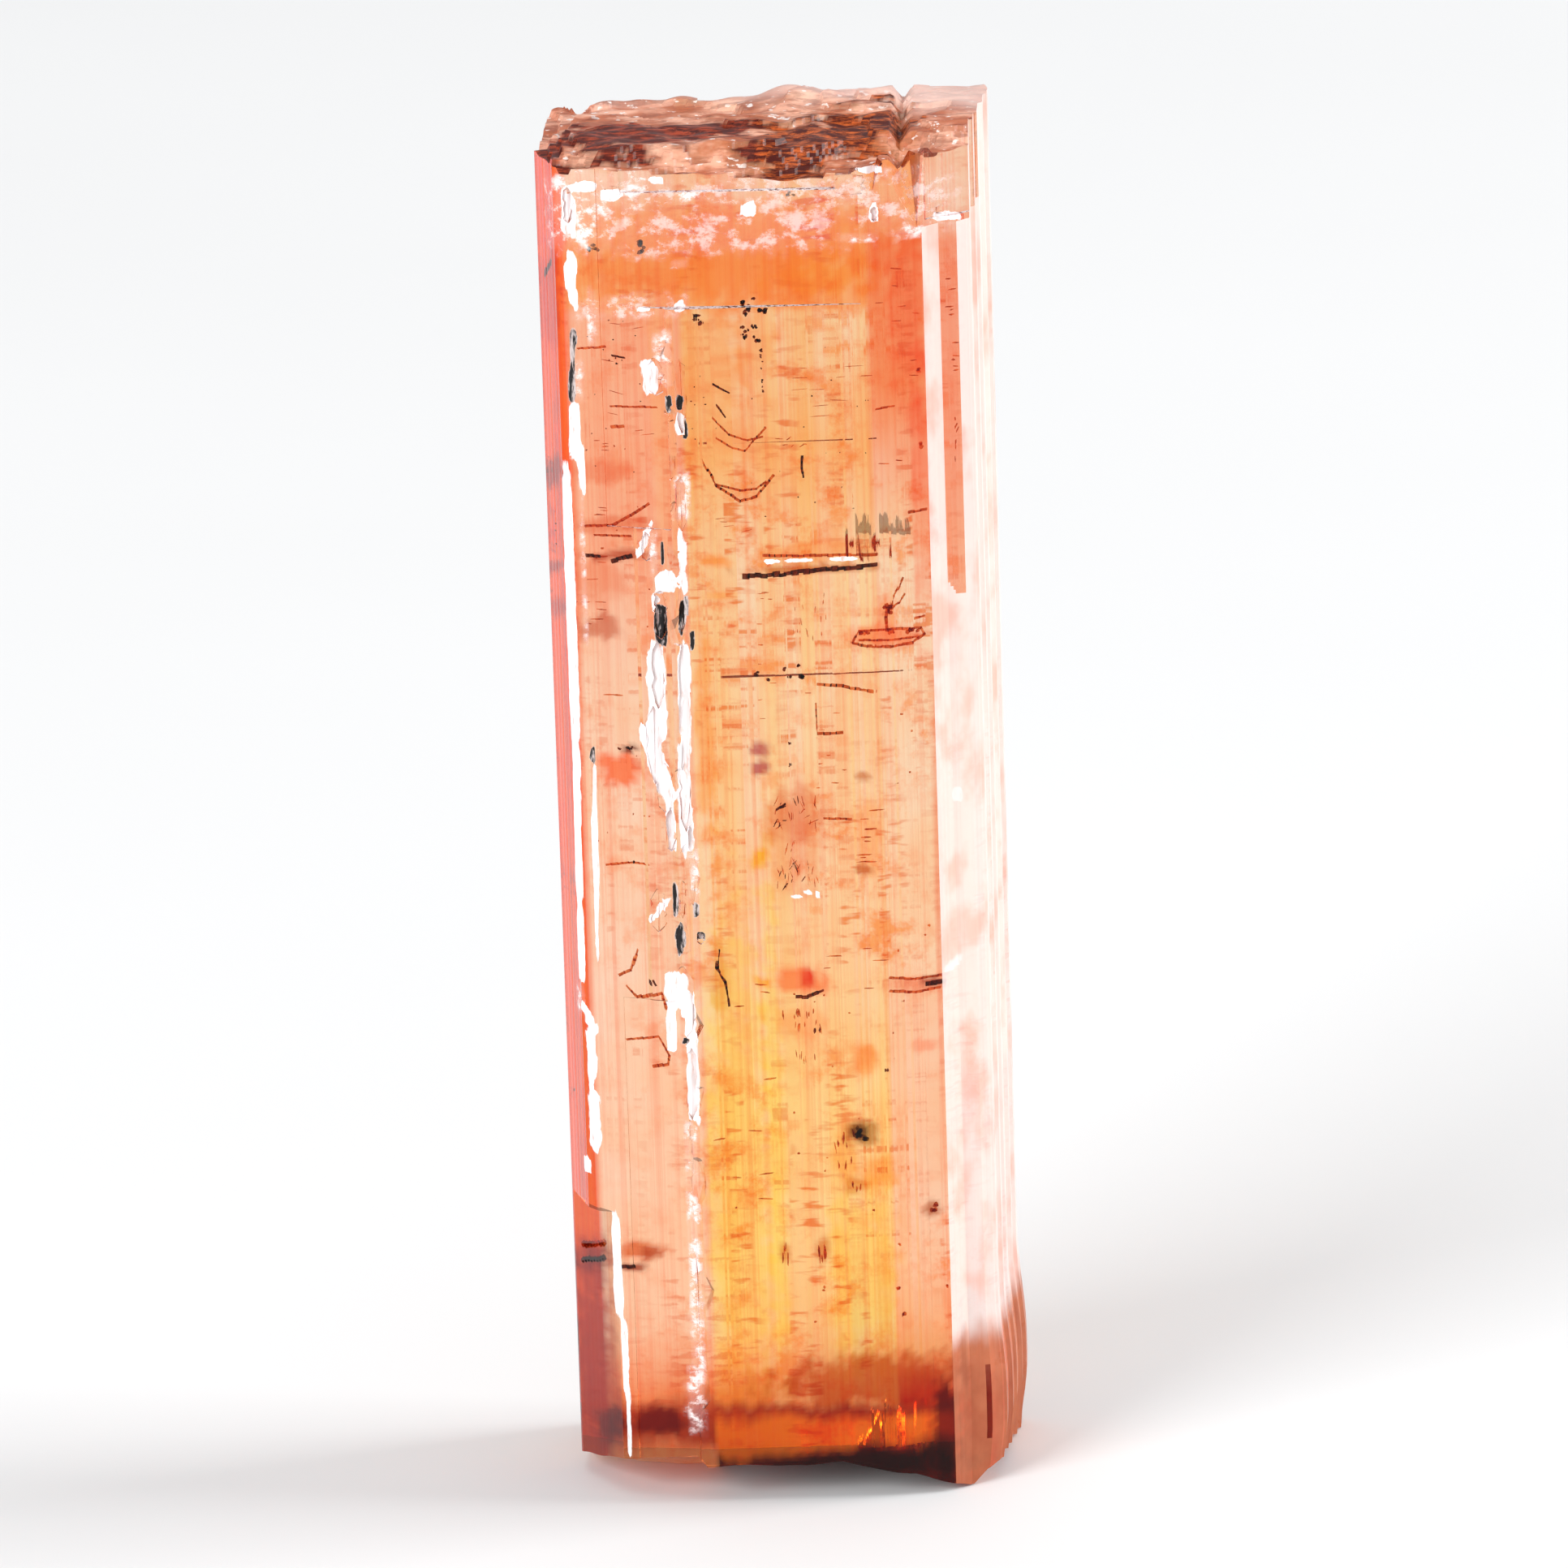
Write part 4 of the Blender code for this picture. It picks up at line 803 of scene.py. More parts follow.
def break_block(name, height_at, far_z, material):
    """A block with one broken face at the given heights and one flat face at far_z."""
    span_x = WIDTH + 2.0 * MARGIN
    span_y = DEPTH + 2.0 * MARGIN
    shape = bmesh.new()
    cells = [round(span / BREAK_CELL) for span in (span_x, span_y)]
    bmesh.ops.create_grid(shape, x_segments=cells[0], y_segments=cells[1], size=0.5)
    bmesh.ops.scale(shape, verts=shape.verts, vec=(span_x, span_y, 1.0))
    for vert in shape.verts:
        vert.co.z = height_at(vert.co.x, vert.co.y)
    for swept in bmesh.ops.extrude_face_region(shape, geom=shape.faces[:])["geom"]:
        if isinstance(swept, bmesh.types.BMVert):
            swept.co.z = far_z
    bmesh.ops.recalc_face_normals(shape, faces=shape.faces)
    return add_object(name, shape, material)


def box(name, low, high, material):
    """A box between two corners."""
    shape = bmesh.new()
    bmesh.ops.create_cube(shape, size=1.0)
    bmesh.ops.scale(shape, verts=shape.verts, vec=[b - a for a, b in zip(low, high)])
    bmesh.ops.translate(shape, verts=shape.verts, vec=[0.5 * (a + b) for a, b in zip(low, high)])
    return add_object(name, shape, material)


def ledge_block(name, face, tilt, x, y, z, side, material):
    """A box whose inner side is the deeper plane of a growth ledge."""
    low = (side[0] * MM, -LEDGE_REACH, z[0] * MM)
    high = (side[1] * MM, 0.0, z[1] * MM)
    made = box(name, low, high, material)
    turn = Matrix.Rotation(turn_of(face) + math.radians(tilt), 4, "Z")
    made.matrix_world = Matrix.Translation((x * MM, y * MM, 0.0)) @ turn
    return made


def broken_piece(name, corners, material):
    """The smallest convex body that holds the corners of a missing piece."""
    shape = bmesh.new()
    for corner in corners:
        shape.verts.new(Vector(corner) * MM)
    bmesh.ops.convex_hull(shape, input=shape.verts)
    bmesh.ops.recalc_face_normals(shape, faces=shape.faces)
    return add_object(name, shape, material)


def front_y(x):
    """How far forward the section reaches at a place along X."""
    corners = section_outline()
    reach = 0.0
    for start, end in zip(corners, corners[1:] + corners[:1]):
        if min(start.x, end.x) <= x <= max(start.x, end.x) and abs(end.x - start.x) > NEAREST_CUT:
            reach = min(reach, start.y + (end.y - start.y) * (x - start.x) / (end.x - start.x))
    return reach


def sliver(name, x, heights, width, material, chance):
    """A thin upright splinter with uneven sides, whose inner side shows where it is cut out."""
    middle = front_y(x * MM)
    outline = []
    for side in (-1.0, 1.0):
        edge = []
        for step in range(SLIVER_STEPS + 1):
            t = step / SLIVER_STEPS
            full = min(1.0, SLIVER_FULLNESS * math.sqrt(t * (1.0 - t)) + SLIVER_TIP)
            half = 0.5 * width * full * chance.uniform(*SLIVER_WIDTHS)
            t += chance.uniform(-SLIVER_SHIFT, SLIVER_SHIFT) / SLIVER_STEPS
            edge.append((x + side * half, heights[0] + (heights[1] - heights[0]) * t))
        outline += edge if side < 0 else reversed(edge)
    shape = bmesh.new()
    near = [shape.verts.new((a * MM, middle - SLIVER_REACH, b * MM)) for a, b in outline]
    far = []
    for a, b in outline:
        depth = SLIVER_DEPTH * chance.uniform(*SLIVER_DEPTHS)
        far.append(shape.verts.new((a * MM, middle + depth, b * MM)))
    shape.faces.new(near)
    shape.faces.new(reversed(far))
    for number in range(len(near)):
        following = (number + 1) % len(near)
        shape.faces.new((near[number], far[number], far[following], near[following]))
    bmesh.ops.triangulate(shape, faces=shape.faces)
    bmesh.ops.recalc_face_normals(shape, faces=shape.faces)
    return add_object(name, shape, material)


def chip(name, centre, radii, material):
    """A small angular lump, for the chips of the ragged edge."""
    shape = bmesh.new()
    bmesh.ops.create_icosphere(shape, subdivisions=2, radius=1.0)
    for vert in shape.verts:
        vert.co *= 1.0 + CHIP_UNEVENNESS * noise.noise(vert.co * CHIP_LUMPS + centre / MM)
    bmesh.ops.scale(shape, verts=shape.verts, vec=radii)
    made = add_object(name, shape, material)
    made.location = centre
    return made


def cut(target, tools):
    """Take the tools' shapes out of the target, and throw the tools away.

    It works on shapes a thousand times larger, because the cutting loses very small faces.
    """
    bpy.context.view_layer.update()
    for made in [target] + tools:
        made.data.transform(Matrix.Scale(1.0 / MM, 4) @ made.matrix_world)
        made.matrix_world = Matrix.Identity(4)
    for tool in tools:
        modifier = target.modifiers.new(tool.name, "BOOLEAN")
        modifier.operation = "DIFFERENCE"
        modifier.solver = "MANIFOLD"
        modifier.object = tool
        modifier.material_mode = "TRANSFER"
    depsgraph = bpy.context.evaluated_depsgraph_get()
    mesh = bpy.data.meshes.new_from_object(target.evaluated_get(depsgraph))
    mesh.transform(Matrix.Scale(MM, 4))
    target.modifiers.clear()
    target.data = mesh
    for tool in tools:
        bpy.data.objects.remove(tool)


def faces_front(face, clear_slot):
    """Whether a face is clear crystal that can be seen from the front."""
    seen = face.normal.y < FRONT_FACING and face.calc_center_median().y < 0.0
    return seen and face.material_index == clear_slot


def span(face, axis):
    """How far a face reaches along an axis."""
    places = [vert.co[axis] for vert in face.verts]
    return max(places) - min(places)


def divide(shape, faces, axis, levels):
    """Divide faces along planes square to an axis, from the highest level down."""
    waiting = faces
    direction = Vector(1.0 if number == axis else 0.0 for number in range(3))
    for level in reversed(levels):
        cutting = []
        for face in waiting:
            places = [vert.co[axis] for vert in face.verts]
            if min(places) < level < max(places):
                cutting.append(face)
        if not cutting:
            continue
        parts = set(cutting)
        for face in cutting:
            parts.update(face.edges)
            parts.update(face.verts)
        made = bmesh.ops.bisect_plane(shape, geom=list(parts), plane_co=direction * level,
                                      plane_no=direction, dist=NEAREST_CUT)
        faces = {item for item in made["geom"] if isinstance(item, bmesh.types.BMFace)}
        faces.update(face for face in waiting if face.is_valid)
        waiting = [face for face in faces if min(vert.co[axis] for vert in face.verts) < level - NEAREST_CUT]


def row_front(mesh):
    """Divide the front's clear faces into small cells, so that finishes, painted highlights, painted shade
    and stains can follow them.
    """
    shape = bmesh.new()
    shape.from_mesh(mesh)
    clear_slot = mesh.materials.find(CLEAR)
    waiting = [face for face in shape.faces if faces_front(face, clear_slot)]
    divide(shape, waiting, 2, np.arange(ROW_HEIGHT, HEIGHT, ROW_HEIGHT))
    wide = [face for face in shape.faces if faces_front(face, clear_slot) and span(face, 0) > WIDE_FACE]
    divide(shape, wide, 0, np.arange(-0.5 * WIDTH, 0.5 * WIDTH, COLUMN_WIDTH))
    shape.to_mesh(mesh)
    shape.free()


def keep_within_solid(mesh):
    """Draw any point that stands out of the CAD solid's box back to it."""
    for vert in mesh.vertices:
        vert.co = [min(max(place, low), high) for place, low, high in zip(vert.co, cad_low, cad_high)]


def seen_height(places):
    """Height at which points are seen from the front, read on the plane of RULED_Y."""
    return places[:, 2] + (places[:, 1] - RULED_Y) * math.tan(CAMERA_ELEVATION)


def uneven(places, waves):
    """The sum of some noises at points: the height, lumps in a millimetre and seed of each."""
    total = np.zeros(len(places))
    for height, (along_x, along_y, along_z), seed in waves:
        for number, (x, y, z) in enumerate(places):
            total[number] += height * noise.noise(Vector((x * along_x + seed, y * along_y, z * along_z)))
    return total


def away_from(places, centre, radii, power, lean=0.0):
    """How far points lie from a patch's middle, where 1 is its edge."""
    up = seen_height(places) - centre[1]
    across = places[:, 0] - centre[0] - lean * up
    return (np.abs(across / radii[0]) ** power + np.abs(up / radii[1]) ** power) ** (1.0 / power)


def tones(places):
    """What each point of the surface leaves of white light, before the fine marks, with painted shade and a
    painted glow low on the front.
    """
    height = seen_height(places) + uneven(places, COLUMN_WAVES)
    colour = np.zeros((len(places), 3))
    for start, stops in COLUMNS:
        levels = [level for level, shade in stops]
        shades = np.array([shade for level, shade in stops])
        column = np.stack([np.interp(height, levels, channel) for channel in shades.T], 1)
        inside = smooth_step(places[:, 0], start - COLUMN_EDGE, start + COLUMN_EDGE)[:, None]
        colour = colour * (1.0 - inside) + column * inside
    ragged = uneven(places, STAIN_AND_SHADE_WAVES)
    for centre, radii, shade in STAINS_AND_BASE_SHADE:
        inside = smooth_step(away_from(places, centre, radii, STAIN_AND_SHADE_POWER) + ragged, *STAIN_AND_SHADE_FADE)[:, None]
        colour *= 1.0 + inside * (np.array(shade) - 1.0)
    front = smooth_step(places[:, 1], *BACK_TO_FRONT)[:, None]
    return np.array(BACK_TINT) * (1.0 - front) + colour * front


def finish_and_light_amounts(places):
    """How much painted highlight in white, milky finish and painted shade each point has, from 0 to 1."""
    ragged = uneven(places, FINISH_AND_LIGHT_WAVES)
    amounts = np.zeros((len(places), 3))
    for row_name, middle, height, half_width, half_height, lean in FINISHES_AND_PAINTED_LIGHT:
        kind, strength, raggedness = FINISH_AND_LIGHT_KINDS[row_name]
        away = away_from(places, (middle, height), (half_width, half_height), FINISH_AND_LIGHT_POWER, lean)
        inside = smooth_step(away + raggedness * ragged, *FINISH_AND_LIGHT_FADE)
        amounts *= 1.0 - inside[:, None]
        amounts[:, kind] += strength * inside
    return amounts


def top_shade_amount(places):
    """How far each point lies in the patches of painted shade on the broken top, from 0 to 1."""
    x, y, z = places.T
    ragged = uneven(places, PATCH_WAVES)
    top_shade = np.zeros(len(places))
    for centre, radii, lean in DARK_PATCHES:
        across = y - centre[1] - lean * (x - centre[0])
        away = np.hypot((x - centre[0]) / radii[0], across / radii[1])
        top_shade = np.maximum(top_shade, smooth_step(away + ragged, *PATCH_FADE))
    return top_shade


def paint(mesh, name, domain, values):
    """Keep one colour for each point or corner of a mesh, as a layer that its material reads."""
    layer = mesh.color_attributes.new(name, "FLOAT_COLOR", domain)
    colours = np.ones((len(values), 4))
    colours[:, :3] = values
    layer.data.foreach_set("color", colours.ravel())


def paint_crystal(mesh):
    """Keep on the mesh its tones, with painted shade low on the front, and how much of each finish, painted
    highlight and painted shade it has.

    The tones are squared, because one crossing of the surface takes only the root of a base colour.
    """
    places = np.array([vert.co for vert in mesh.vertices]) / MM
    centres = np.array([face.center for face in mesh.polygons]) / MM
    normals = np.array([face.normal for face in mesh.polygons])
    clear = np.array([face.material_index for face in mesh.polygons]) == mesh.materials.find(CLEAR)
    points = np.array([loop.vertex_index for loop in mesh.loops])
    faces = np.repeat(np.arange(len(clear)), [face.loop_total for face in mesh.polygons])
    paint(mesh, TONES, "POINT", tones(places) ** 2)

    near = clear & (centres[:, 1] < 0.0)
    front = near & (normals[:, 1] < FRONT_FACING)
    steps = near & (normals[:, 2] > STEP_FACING)
    finishes_and_painted_light = finish_and_light_amounts(places)[points] * front[faces][:, None]
    # Upward steps of the ledges get a painted highlight in white.
    finishes_and_painted_light[steps[faces], WHITE] = STEP_HIGHLIGHT
    paint(mesh, FINISH_AND_LIGHT_LAYER, "CORNER", finishes_and_painted_light)

    x, y, z = centres.T
    side = clear & (normals[:, 0] > FROST_FACING) & (x > FROST_START) & (z < FROST_TOP)
    bevel = clear & (x > BEVEL_SPAN[0]) & (x < BEVEL_SPAN[1]) & (z + uneven(centres, BEVEL_WAVES) < BEVEL_TOP)
    broken = (~clear)[faces]
    sides = np.stack([(side | bevel)[faces], broken, broken * top_shade_amount(places)[points]], 1)
    paint(mesh, SIDE_LAYER, "CORNER", sides)
    for face in mesh.polygons:
        face.material_index = 0
    mesh.materials.pop(index=mesh.materials.find(BROKEN))


class Nodes:
    """Short names for making and joining the nodes of one material. Colours come without alpha."""

    def __init__(self, name):
        self.material = bpy.data.materials.new(name)
        self.material.use_nodes = True
        self.tree = self.material.node_tree
        self.shader = self.tree.nodes["Principled BSDF"]
        self.output = self.tree.nodes["Material Output"]
        self.place = self.add("ShaderNodeTexCoord").outputs["Object"]

    def add(self, kind, inputs=None, **settings):
        """A new node with its settings, and with its inputs filled."""
        node = self.tree.nodes.new(kind)
        for key, value in settings.items():
            setattr(node, key, value)
        return self.fill(node, inputs or {})

    def fill(self, node, inputs):
        """Give a node's sockets numbers or colours, or join other sockets to them."""
        for name, value in inputs.items():
            socket = node.inputs[name]
            if isinstance(value, bpy.types.NodeSocket):
                self.tree.links.new(value, socket)
            elif socket.type == "RGBA":
                socket.default_value = (*value, 1.0)
            else:
                socket.default_value = value
        return node

    def math(self, operation, *values):
        return self.add("ShaderNodeMath", dict(enumerate(values)), operation=operation).outputs[0]

    def times(self, first, second):
        return self.math("MULTIPLY", first, second)

    def largest(self, value, *others):
        for other in others:
            value = self.math("MAXIMUM", value, other)
        return value

    def scaled(self, scale, offset=(0.0, 0.0, 0.0)):
        """The object's coordinates in millimetres, stretched by scale."""
        inputs = {0: self.place, 1: [s / MM for s in scale], 2: offset}
        return self.add("ShaderNodeVectorMath", inputs, operation="MULTIPLY_ADD").outputs[0]

    def noise(self, scale, offset=(0.0, 0.0, 0.0), detail=3.0, roughness=0.5):
        """Noise from 0 to 1; scale is how many lumps there are in a millimetre along X, Y and Z."""
        place = self.scaled(scale, offset)
        inputs = {"Vector": place, "Scale": 1.0, "Detail": detail, "Roughness": roughness}
        return self.add("ShaderNodeTexNoise", inputs).outputs["Fac"]

    def ramp(self, value, low, high, start=0.0, end=1.0):
        """Value mapped smoothly from low..high to start..end."""
        inputs = {"Value": value, "From Min": low, "From Max": high, "To Min": start, "To Max": end}
        return self.add("ShaderNodeMapRange", inputs, interpolation_type="SMOOTHSTEP").outputs["Result"]

    def patches(self, shown, start=0.0, end=1.0, **pattern):
        """Noise whose values in the span shown are mapped smoothly to start..end."""
        return self.ramp(self.noise(**pattern), *shown, start, end)

    def mix(self, amount, first, second, blend="MIX"):
        inputs = {"Factor": amount, "A": first, "B": second}
        return self.add("ShaderNodeMix", inputs, data_type="RGBA", blend_type=blend).outputs["Result"]

    def marked(self, colour, amount, left):
        """A clear colour under marks that leave the given colour of white light."""
        return self.mix(amount, colour, [channel ** 2.0 for channel in left], "MULTIPLY")

    def axes(self):
        """The object's x, y and z in millimetres."""
        return self.add("ShaderNodeSeparateXYZ", {0: self.scaled((1.0, 1.0, 1.0))}).outputs[:]

    def layer(self, name):
        """The colour of a layer that is painted on the mesh."""
        return self.add("ShaderNodeAttribute", attribute_name=name).outputs["Color"]

    def channels(self, name):
        """The three channels of a layer that is painted on the mesh."""
        return self.add("ShaderNodeSeparateColor", {0: self.layer(name)}).outputs[:]


def clear_colour(nodes, fine):
    """The tones of the clear crystal with its rungs, blotches and upright lines."""
    x = nodes.axes()[0]
    busy = nodes.times(nodes.patches(**BUSY), nodes.ramp(x, *QUIET_LEFT, QUIET, 1.0))
    rungs = nodes.times(nodes.times(nodes.patches(**RUNGS), nodes.patches(**RUNG_COLUMNS)), busy)
    colour = nodes.marked(nodes.layer(TONES), rungs, RUNG_TINT)
    colour = nodes.marked(colour, nodes.times(nodes.patches(**BLOTCHES), busy), BLOTCH_TINT)
    colour = nodes.marked(colour, nodes.patches(**BLUSH), BLUSH_TINT)
    broad = nodes.times(nodes.ramp(x, *BROAD_LEFT), nodes.ramp(x, *BROAD_RIGHT, 1.0, 0.0))
    colour = nodes.marked(colour, nodes.times(nodes.patches(**BANDS), broad), BAND_TINT)
    return nodes.marked(colour, nodes.ramp(fine, *LINES_SHOWN, 0.0, LINE_STRENGTH), LINE_TINT)


def frost_sheen_and_shade_colour(nodes):
    """The etched right side: near white, partly a painted reflection, with pink clouds, and painted brown
    shade at its base.
    """
    colour = nodes.mix(nodes.patches(**FROST_CLOUDS), FROST_AND_SHEEN_PALE, FROST_PINK)
    base = nodes.mix(nodes.noise(**BASE_MOTTLE), SIDE_SHADE_BROWN, SIDE_SHADE_TAN)
    height = nodes.math("MULTIPLY_ADD", nodes.noise(**BASE_WAVER), BASE_WAVER_HEIGHT, nodes.axes()[2])
    return nodes.mix(nodes.ramp(height, *BASE_EDGE), base, colour)


def broken_colour(nodes):
    """The broken top: pale terraces streaked with brown red and dotted with painted white glints, paler still
    towards the back.
    """
    x, y, z = nodes.axes()
    colour = nodes.mix(nodes.patches(**BREAK_CLOUDS), BREAK_PALE, BREAK_BROWN)
    colour = nodes.mix(nodes.patches(**BREAK_STREAKS), colour, BREAK_DARK)
    colour = nodes.mix(nodes.patches(**BREAK_GLINTS), colour, BREAK_GLINT_WHITE)
    back = nodes.ramp(nodes.math("MULTIPLY_ADD", x, BREAK_LEAN, y), *BREAK_FADE, 0.0, BREAK_FADED)
    return nodes.mix(back, colour, BREAK_BACK)


def top_shade_colour(nodes):
    """Painted shade on the broken top: brown red, in fine layers."""
    rust = nodes.mix(nodes.ramp(nodes.axes()[0], *TOP_SHADE_TURN), TOP_SHADE_LEFT, TOP_SHADE_RIGHT)
    return nodes.mix(nodes.patches(**TOP_SHADE_LAYERS), TOP_SHADE_DARK, rust)


def topaz_material():
    """Clear topaz, with an even surface over it where it has a painted highlight in white or painted shade,
    is etched or broken, or has painted shade on the broken top.
    """
    nodes = Nodes(CLEAR)
    white, milky, dark = nodes.channels(FINISH_AND_LIGHT_LAYER)
    frosted, broken, top_shade = nodes.channels(SIDE_LAYER)
    fine = nodes.noise(**FINE_LINES)
    etched = nodes.times(frosted, FROST_ROUGHNESS)
    bump = nodes.add("ShaderNodeBump", {"Height": fine, "Distance": LINE_DEPTH, "Strength": LINE_BUMP})
    clear = nodes.fill(nodes.shader, {
        "Base Color": clear_colour(nodes, fine), "Normal": bump.outputs["Normal"],
        "Roughness": nodes.largest(etched, nodes.times(broken, BREAK_ROUGHNESS), POLISH),
        "IOR": TOPAZ_IOR, "Transmission Weight": 1.0, "Specular Tint": SHEEN,
    })
    volume = nodes.add("ShaderNodeVolumeAbsorption", {
        "Color": ABSORPTION_COLOUR, "Density": ABSORPTION_DENSITY,
    })

    # White is painted highlight and dark is painted shade; the fibres break up their edges.
    fibres = nodes.noise(**FIBRES)
    breakup = nodes.math("SUBTRACT", fibres, 0.5)
    white = nodes.ramp(nodes.math("ADD", white, breakup), *BREAKUP_EDGE, 0.0, WHITE_COVER)
    white = nodes.times(white, nodes.ramp(fibres, *THIN_FIBRES, 1.0, THIN_COVER))
    dark = nodes.ramp(nodes.math("ADD", dark, breakup), *BREAKUP_EDGE)
    haze = nodes.times(milky, nodes.ramp(nodes.patches(**VEIL), 0.0, 1.0, VEIL_THINNEST, 1.0))
    cover = nodes.largest(white, haze, dark, nodes.times(frosted, FROST_COVER),
                          nodes.times(broken, BREAK_COVER), top_shade)

    colour = nodes.mix(nodes.ramp(fibres, *WHITE_FIBRES), WHITE_PALE, WHITE_SHADED)
    colour = nodes.mix(nodes.times(milky, MILK_STRENGTH), colour, MILK)
    colour = nodes.mix(frosted, colour, frost_sheen_and_shade_colour(nodes))
    colour = nodes.mix(broken, colour, broken_colour(nodes))
    colour = nodes.mix(top_shade, colour, top_shade_colour(nodes))
    # Dark takes painted shade in near black, with painted glints in it.
    colour = nodes.mix(dark, colour, nodes.mix(nodes.ramp(fibres, *SHADE_FIBRES), SHADE_BLACK, SHADE_GLINT))
    solid = nodes.add("ShaderNodeBsdfPrincipled", {
        "Base Color": colour, "Roughness": SOLID_ROUGHNESS, "Specular IOR Level": SOLID_SPECULAR,
    })
    both = nodes.add("ShaderNodeMixShader", {
        "Fac": cover, 1: clear.outputs["BSDF"], 2: solid.outputs["BSDF"],
    })
    nodes.fill(nodes.output, {"Surface": both.outputs["Shader"], "Volume": volume.outputs["Volume"]})
    return nodes.material


def build_crystal():
    clear = topaz_material()
    broken = bpy.data.materials.new(BROKEN)
    crystal = prism("crystal", clear)
    tools = [box("resting_cut", (-WIDTH, -DEPTH, -CUTTER_REACH), (WIDTH, DEPTH, 0.0), clear)]
    for name, ledge in LEDGES.items():
        tools.append(ledge_block(name, material=clear, **ledge))
    for number, (height, half_length) in enumerate(RAGGED_CHIPS):
        sway = RAGGED_SWAY * math.sin(RAGGED_SWAY_RATE * height)
        centre = Vector((RAGGED_CENTRE.x + sway, RAGGED_CENTRE.y, height)) * MM
        radii = Vector((RAGGED_RADII.x, RAGGED_RADII.y, half_length)) * MM
        tools.append(chip("edge_chip_%02d" % number, centre, radii, clear))
    for name, corners in BREAKS.items():
        tools.append(broken_piece(name, corners, clear))
    chance = random.Random(SLIVER_SEED)
    for number, (x, heights, width) in enumerate(SLIVERS):
        tools.append(sliver("sliver_%02d" % number, x, heights, width, clear, chance))
    tools.append(break_block("top_break", top_height, HEIGHT + CUTTER_REACH, broken))
    tools.append(break_block("base_break", base_height, -2.0 * CUTTER_REACH, clear))
    cut(crystal, tools)
    row_front(crystal.data)
    keep_within_solid(crystal.data)
    paint_crystal(crystal.data)
    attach(crystal, BODY)
    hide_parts(CAD_NODE)


def inside(x, height, depth):
    """The place at a depth behind the front that is seen from the front at x and a height."""
    surface = front_y(x * MM)
    lower = (surface - RULED_Y * MM) * math.tan(CAMERA_ELEVATION) + depth * math.tan(REFRACTED_ELEVATION)
    return Vector((x * MM, surface + depth, height * MM - lower))


def somewhere(x, height, half_width, half_height, chance):
    """A random place inside the crystal, within a patch that is seen from the front."""
    across = x + half_width * chance.uniform(-1.0, 1.0)
    return inside(across, height + half_height * chance.uniform(-1.0, 1.0), chance.uniform(*FLAW_DEPTHS))


def tipped(place, slope, size):
    """Matrix that gives a unit shape its size, tips it up to the right and puts it in place."""
    return Matrix.Translation(place) @ Matrix.Rotation(-slope, 4, "Y") @ Matrix.Diagonal((*size, 1.0))


def lump(shape, place, radii, slope, chance):
    """Add an uneven grain with the given half sizes."""
    made = bmesh.ops.create_icosphere(shape, subdivisions=1, radius=1.0)["verts"]
    for vert in made:
        vert.co *= chance.uniform(*LUMP_UNEVENNESS)
    bmesh.ops.transform(shape, matrix=tipped(place, slope, radii), verts=made)


def crack(shape, thickness, path, chance):
    """Add a crack: a chain of short thin plates along a path, each a little out of line."""
    depth = chance.uniform(*FLAW_DEPTHS)
    places = [inside(x, height, depth) for x, height in path]
    for start, end in zip(places, places[1:]):
        pieces = max(1, round((end - start).length / CRACK_STEP))
        for piece in range(pieces):
            a = start.lerp(end, piece / pieces)
            b = start.lerp(end, (piece + 1) / pieces)
            aside = thickness * MM * chance.uniform(-CRACK_WANDER, CRACK_WANDER)
            middle = 0.5 * (a + b) + Vector((0.0, 0.0, aside))
            slope = math.atan2(b.z - a.z, b.x - a.x)
            thick = thickness * MM * chance.uniform(*CRACK_THICKNESSES)
            size = ((b - a).length * CRACK_OVERLAP, CRACK_DEPTH, thick)
            bmesh.ops.create_cube(shape, size=1.0, matrix=tipped(middle, slope, size))


def flaw_material(kind):
    """A stained film that lets some light through and doesn't bend it."""
    nodes = Nodes("flaw_" + kind)
    nodes.fill(nodes.shader, {
        "Base Color": nodes.mix(nodes.patches(**FLAW_GRAIN), *FLAW_COLOURS[kind]),
        "Transmission Weight": 1.0, "IOR": 1.0, "Roughness": 0.0,
    })
    return nodes.material


def build_flaws():
    """Grains, streaks and cracks inside the crystal, one piece for each colour."""
    chance = random.Random(FLAW_SEED)
    shapes = {kind: bmesh.new() for kind in FLAW_COLOURS}
    for kind, x, height, half_width, half_height, count, size in GRAINS:
        for grain in range(count):
            place = somewhere(x, height, half_width, half_height, chance)
            radii = [size * MM * chance.uniform(*GRAIN_SIZES) for axis in range(3)]
            lump(shapes[kind], place, radii, chance.uniform(0.0, math.pi), chance)
    for kind, x, height, half_width, half_height, count, length, thickness, slope, spread in STREAKS:
        for streak in range(count):
            place = somewhere(x, height, half_width, half_height, chance)
            half_length = 0.5 * length * MM * chance.uniform(*STREAK_LENGTHS)
            half_thickness = 0.5 * thickness * MM * chance.uniform(*STREAK_THICKNESSES)
            tip = math.radians(slope + spread * chance.uniform(-1.0, 1.0))
            lump(shapes[kind], place, (half_length, STREAK_DEPTH, half_thickness), tip, chance)
    for kind, thickness, path in CRACKS:
        crack(shapes[kind], thickness, path, chance)
    for kind, shape in shapes.items():
        bmesh.ops.recalc_face_normals(shape, faces=shape.faces)
        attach(add_object("flaws_" + kind, shape, flaw_material(kind)), BODY)


def look_along(made, direction):
    """Turn a camera or a light to look along a direction."""
    made.rotation_mode = "QUATERNION"
    made.rotation_quaternion = direction.to_track_quat("-Z", "Y")


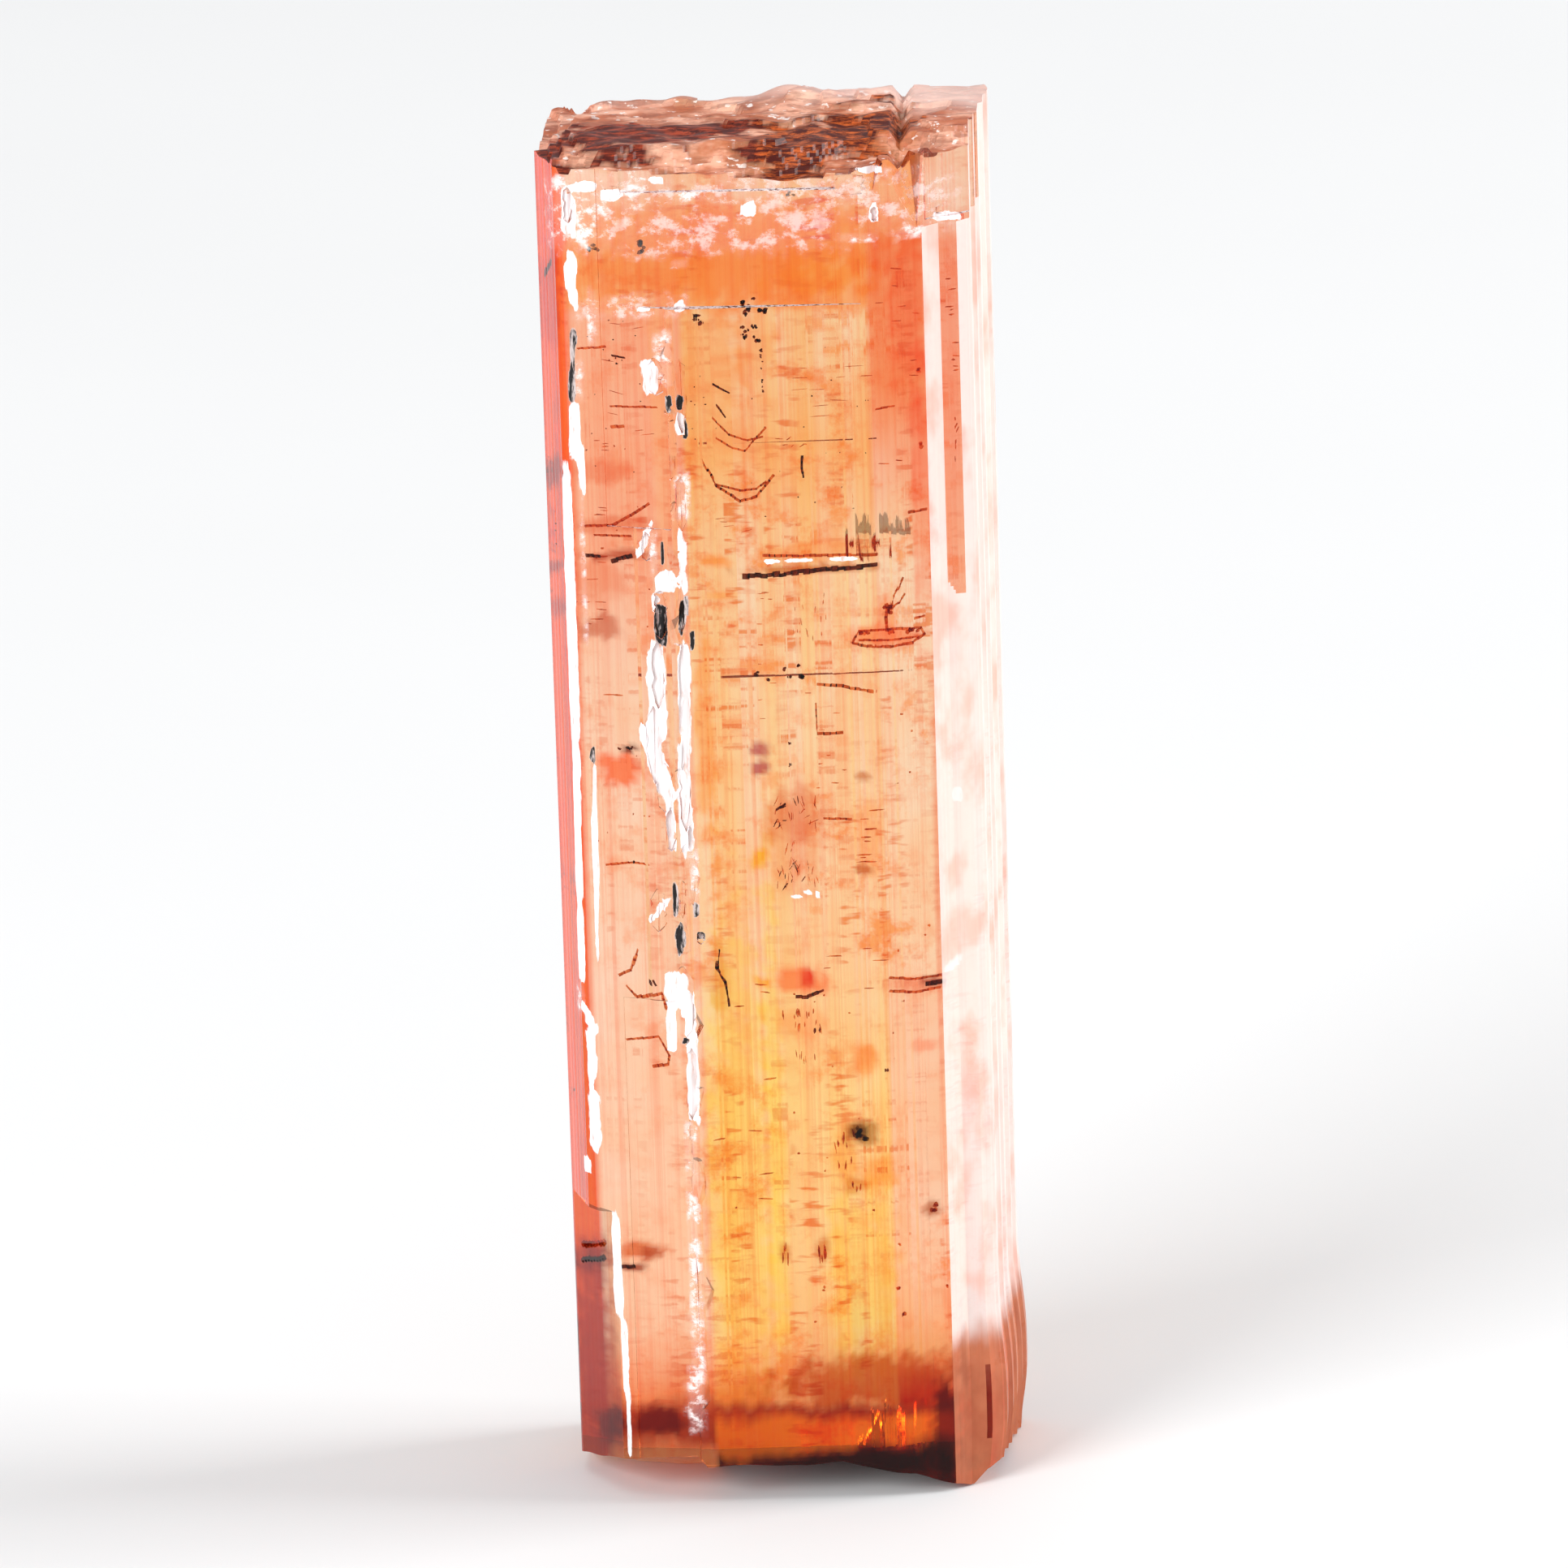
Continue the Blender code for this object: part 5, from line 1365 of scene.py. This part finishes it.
def build_camera():
    data = bpy.data.cameras.new("camera")
    data.lens = CAMERA_LENS
    data.sensor_width = CAMERA_SENSOR
    data.shift_x = -TARGET_PIXELS_RIGHT_OF_CENTRE / PHOTO_PIXELS
    data.clip_start, data.clip_end = CAMERA_CLIP
    camera = link(bpy.data.objects.new("camera", data))
    back = Vector((0.0, -math.cos(CAMERA_ELEVATION), math.sin(CAMERA_ELEVATION)))
    camera.location = CAMERA_TARGET + back * CAMERA_DISTANCE
    look_along(camera, -back)
    camera.rotation_quaternion = camera.rotation_quaternion @ Quaternion((0.0, 0.0, 1.0), CAMERA_ROLL)
    bpy.context.scene.camera = camera


def area_light(name, place, target, size, power):
    data = bpy.data.lights.new(name, "AREA")
    data.shape = "RECTANGLE"
    data.size, data.size_y = size
    data.energy = power
    light = link(bpy.data.objects.new(name, data))
    light.location = place
    look_along(light, Vector(target) - Vector(place))


def build_studio():
    shape = bmesh.new()
    bmesh.ops.create_circle(shape, cap_ends=True, segments=FLOOR_SIDES, radius=FLOOR_RADIUS)
    bmesh.ops.translate(shape, verts=shape.verts, vec=(0.0, 0.0, -FLOOR_GAP))
    nodes = Nodes("studio_floor")
    nodes.fill(nodes.shader, {
        "Base Color": nodes.mix(nodes.noise(**FLOOR_CLOUDS), FLOOR_GREY, FLOOR_PALE),
        "Roughness": FLOOR_ROUGHNESS, "Specular IOR Level": FLOOR_SPECULAR,
    })
    floor = add_object("studio_floor", shape, nodes.material)
    for name, light in LIGHTS.items():
        area_light(name, **light)
    world = bpy.data.worlds.new("studio")
    bpy.context.scene.world = world
    world.use_nodes = True
    sky = world.node_tree.nodes["Background"].inputs
    sky["Color"].default_value = (*SKY_COLOUR, 1.0)
    sky["Strength"].default_value = SKY_STRENGTH


def set_output_look():
    scene = bpy.context.scene
    scene.view_settings.view_transform = "Standard"
    scene.view_settings.look = "None"
    scene.cycles.use_denoising = True
    scene.cycles.max_bounces = BOUNCES
    scene.cycles.transmission_bounces = BOUNCES
    scene.cycles.glossy_bounces = BOUNCES
    scene.cycles.sample_clamp_indirect = BRIGHTEST_INDIRECT


build_crystal()
build_flaws()
build_camera()
build_studio()
set_output_look()
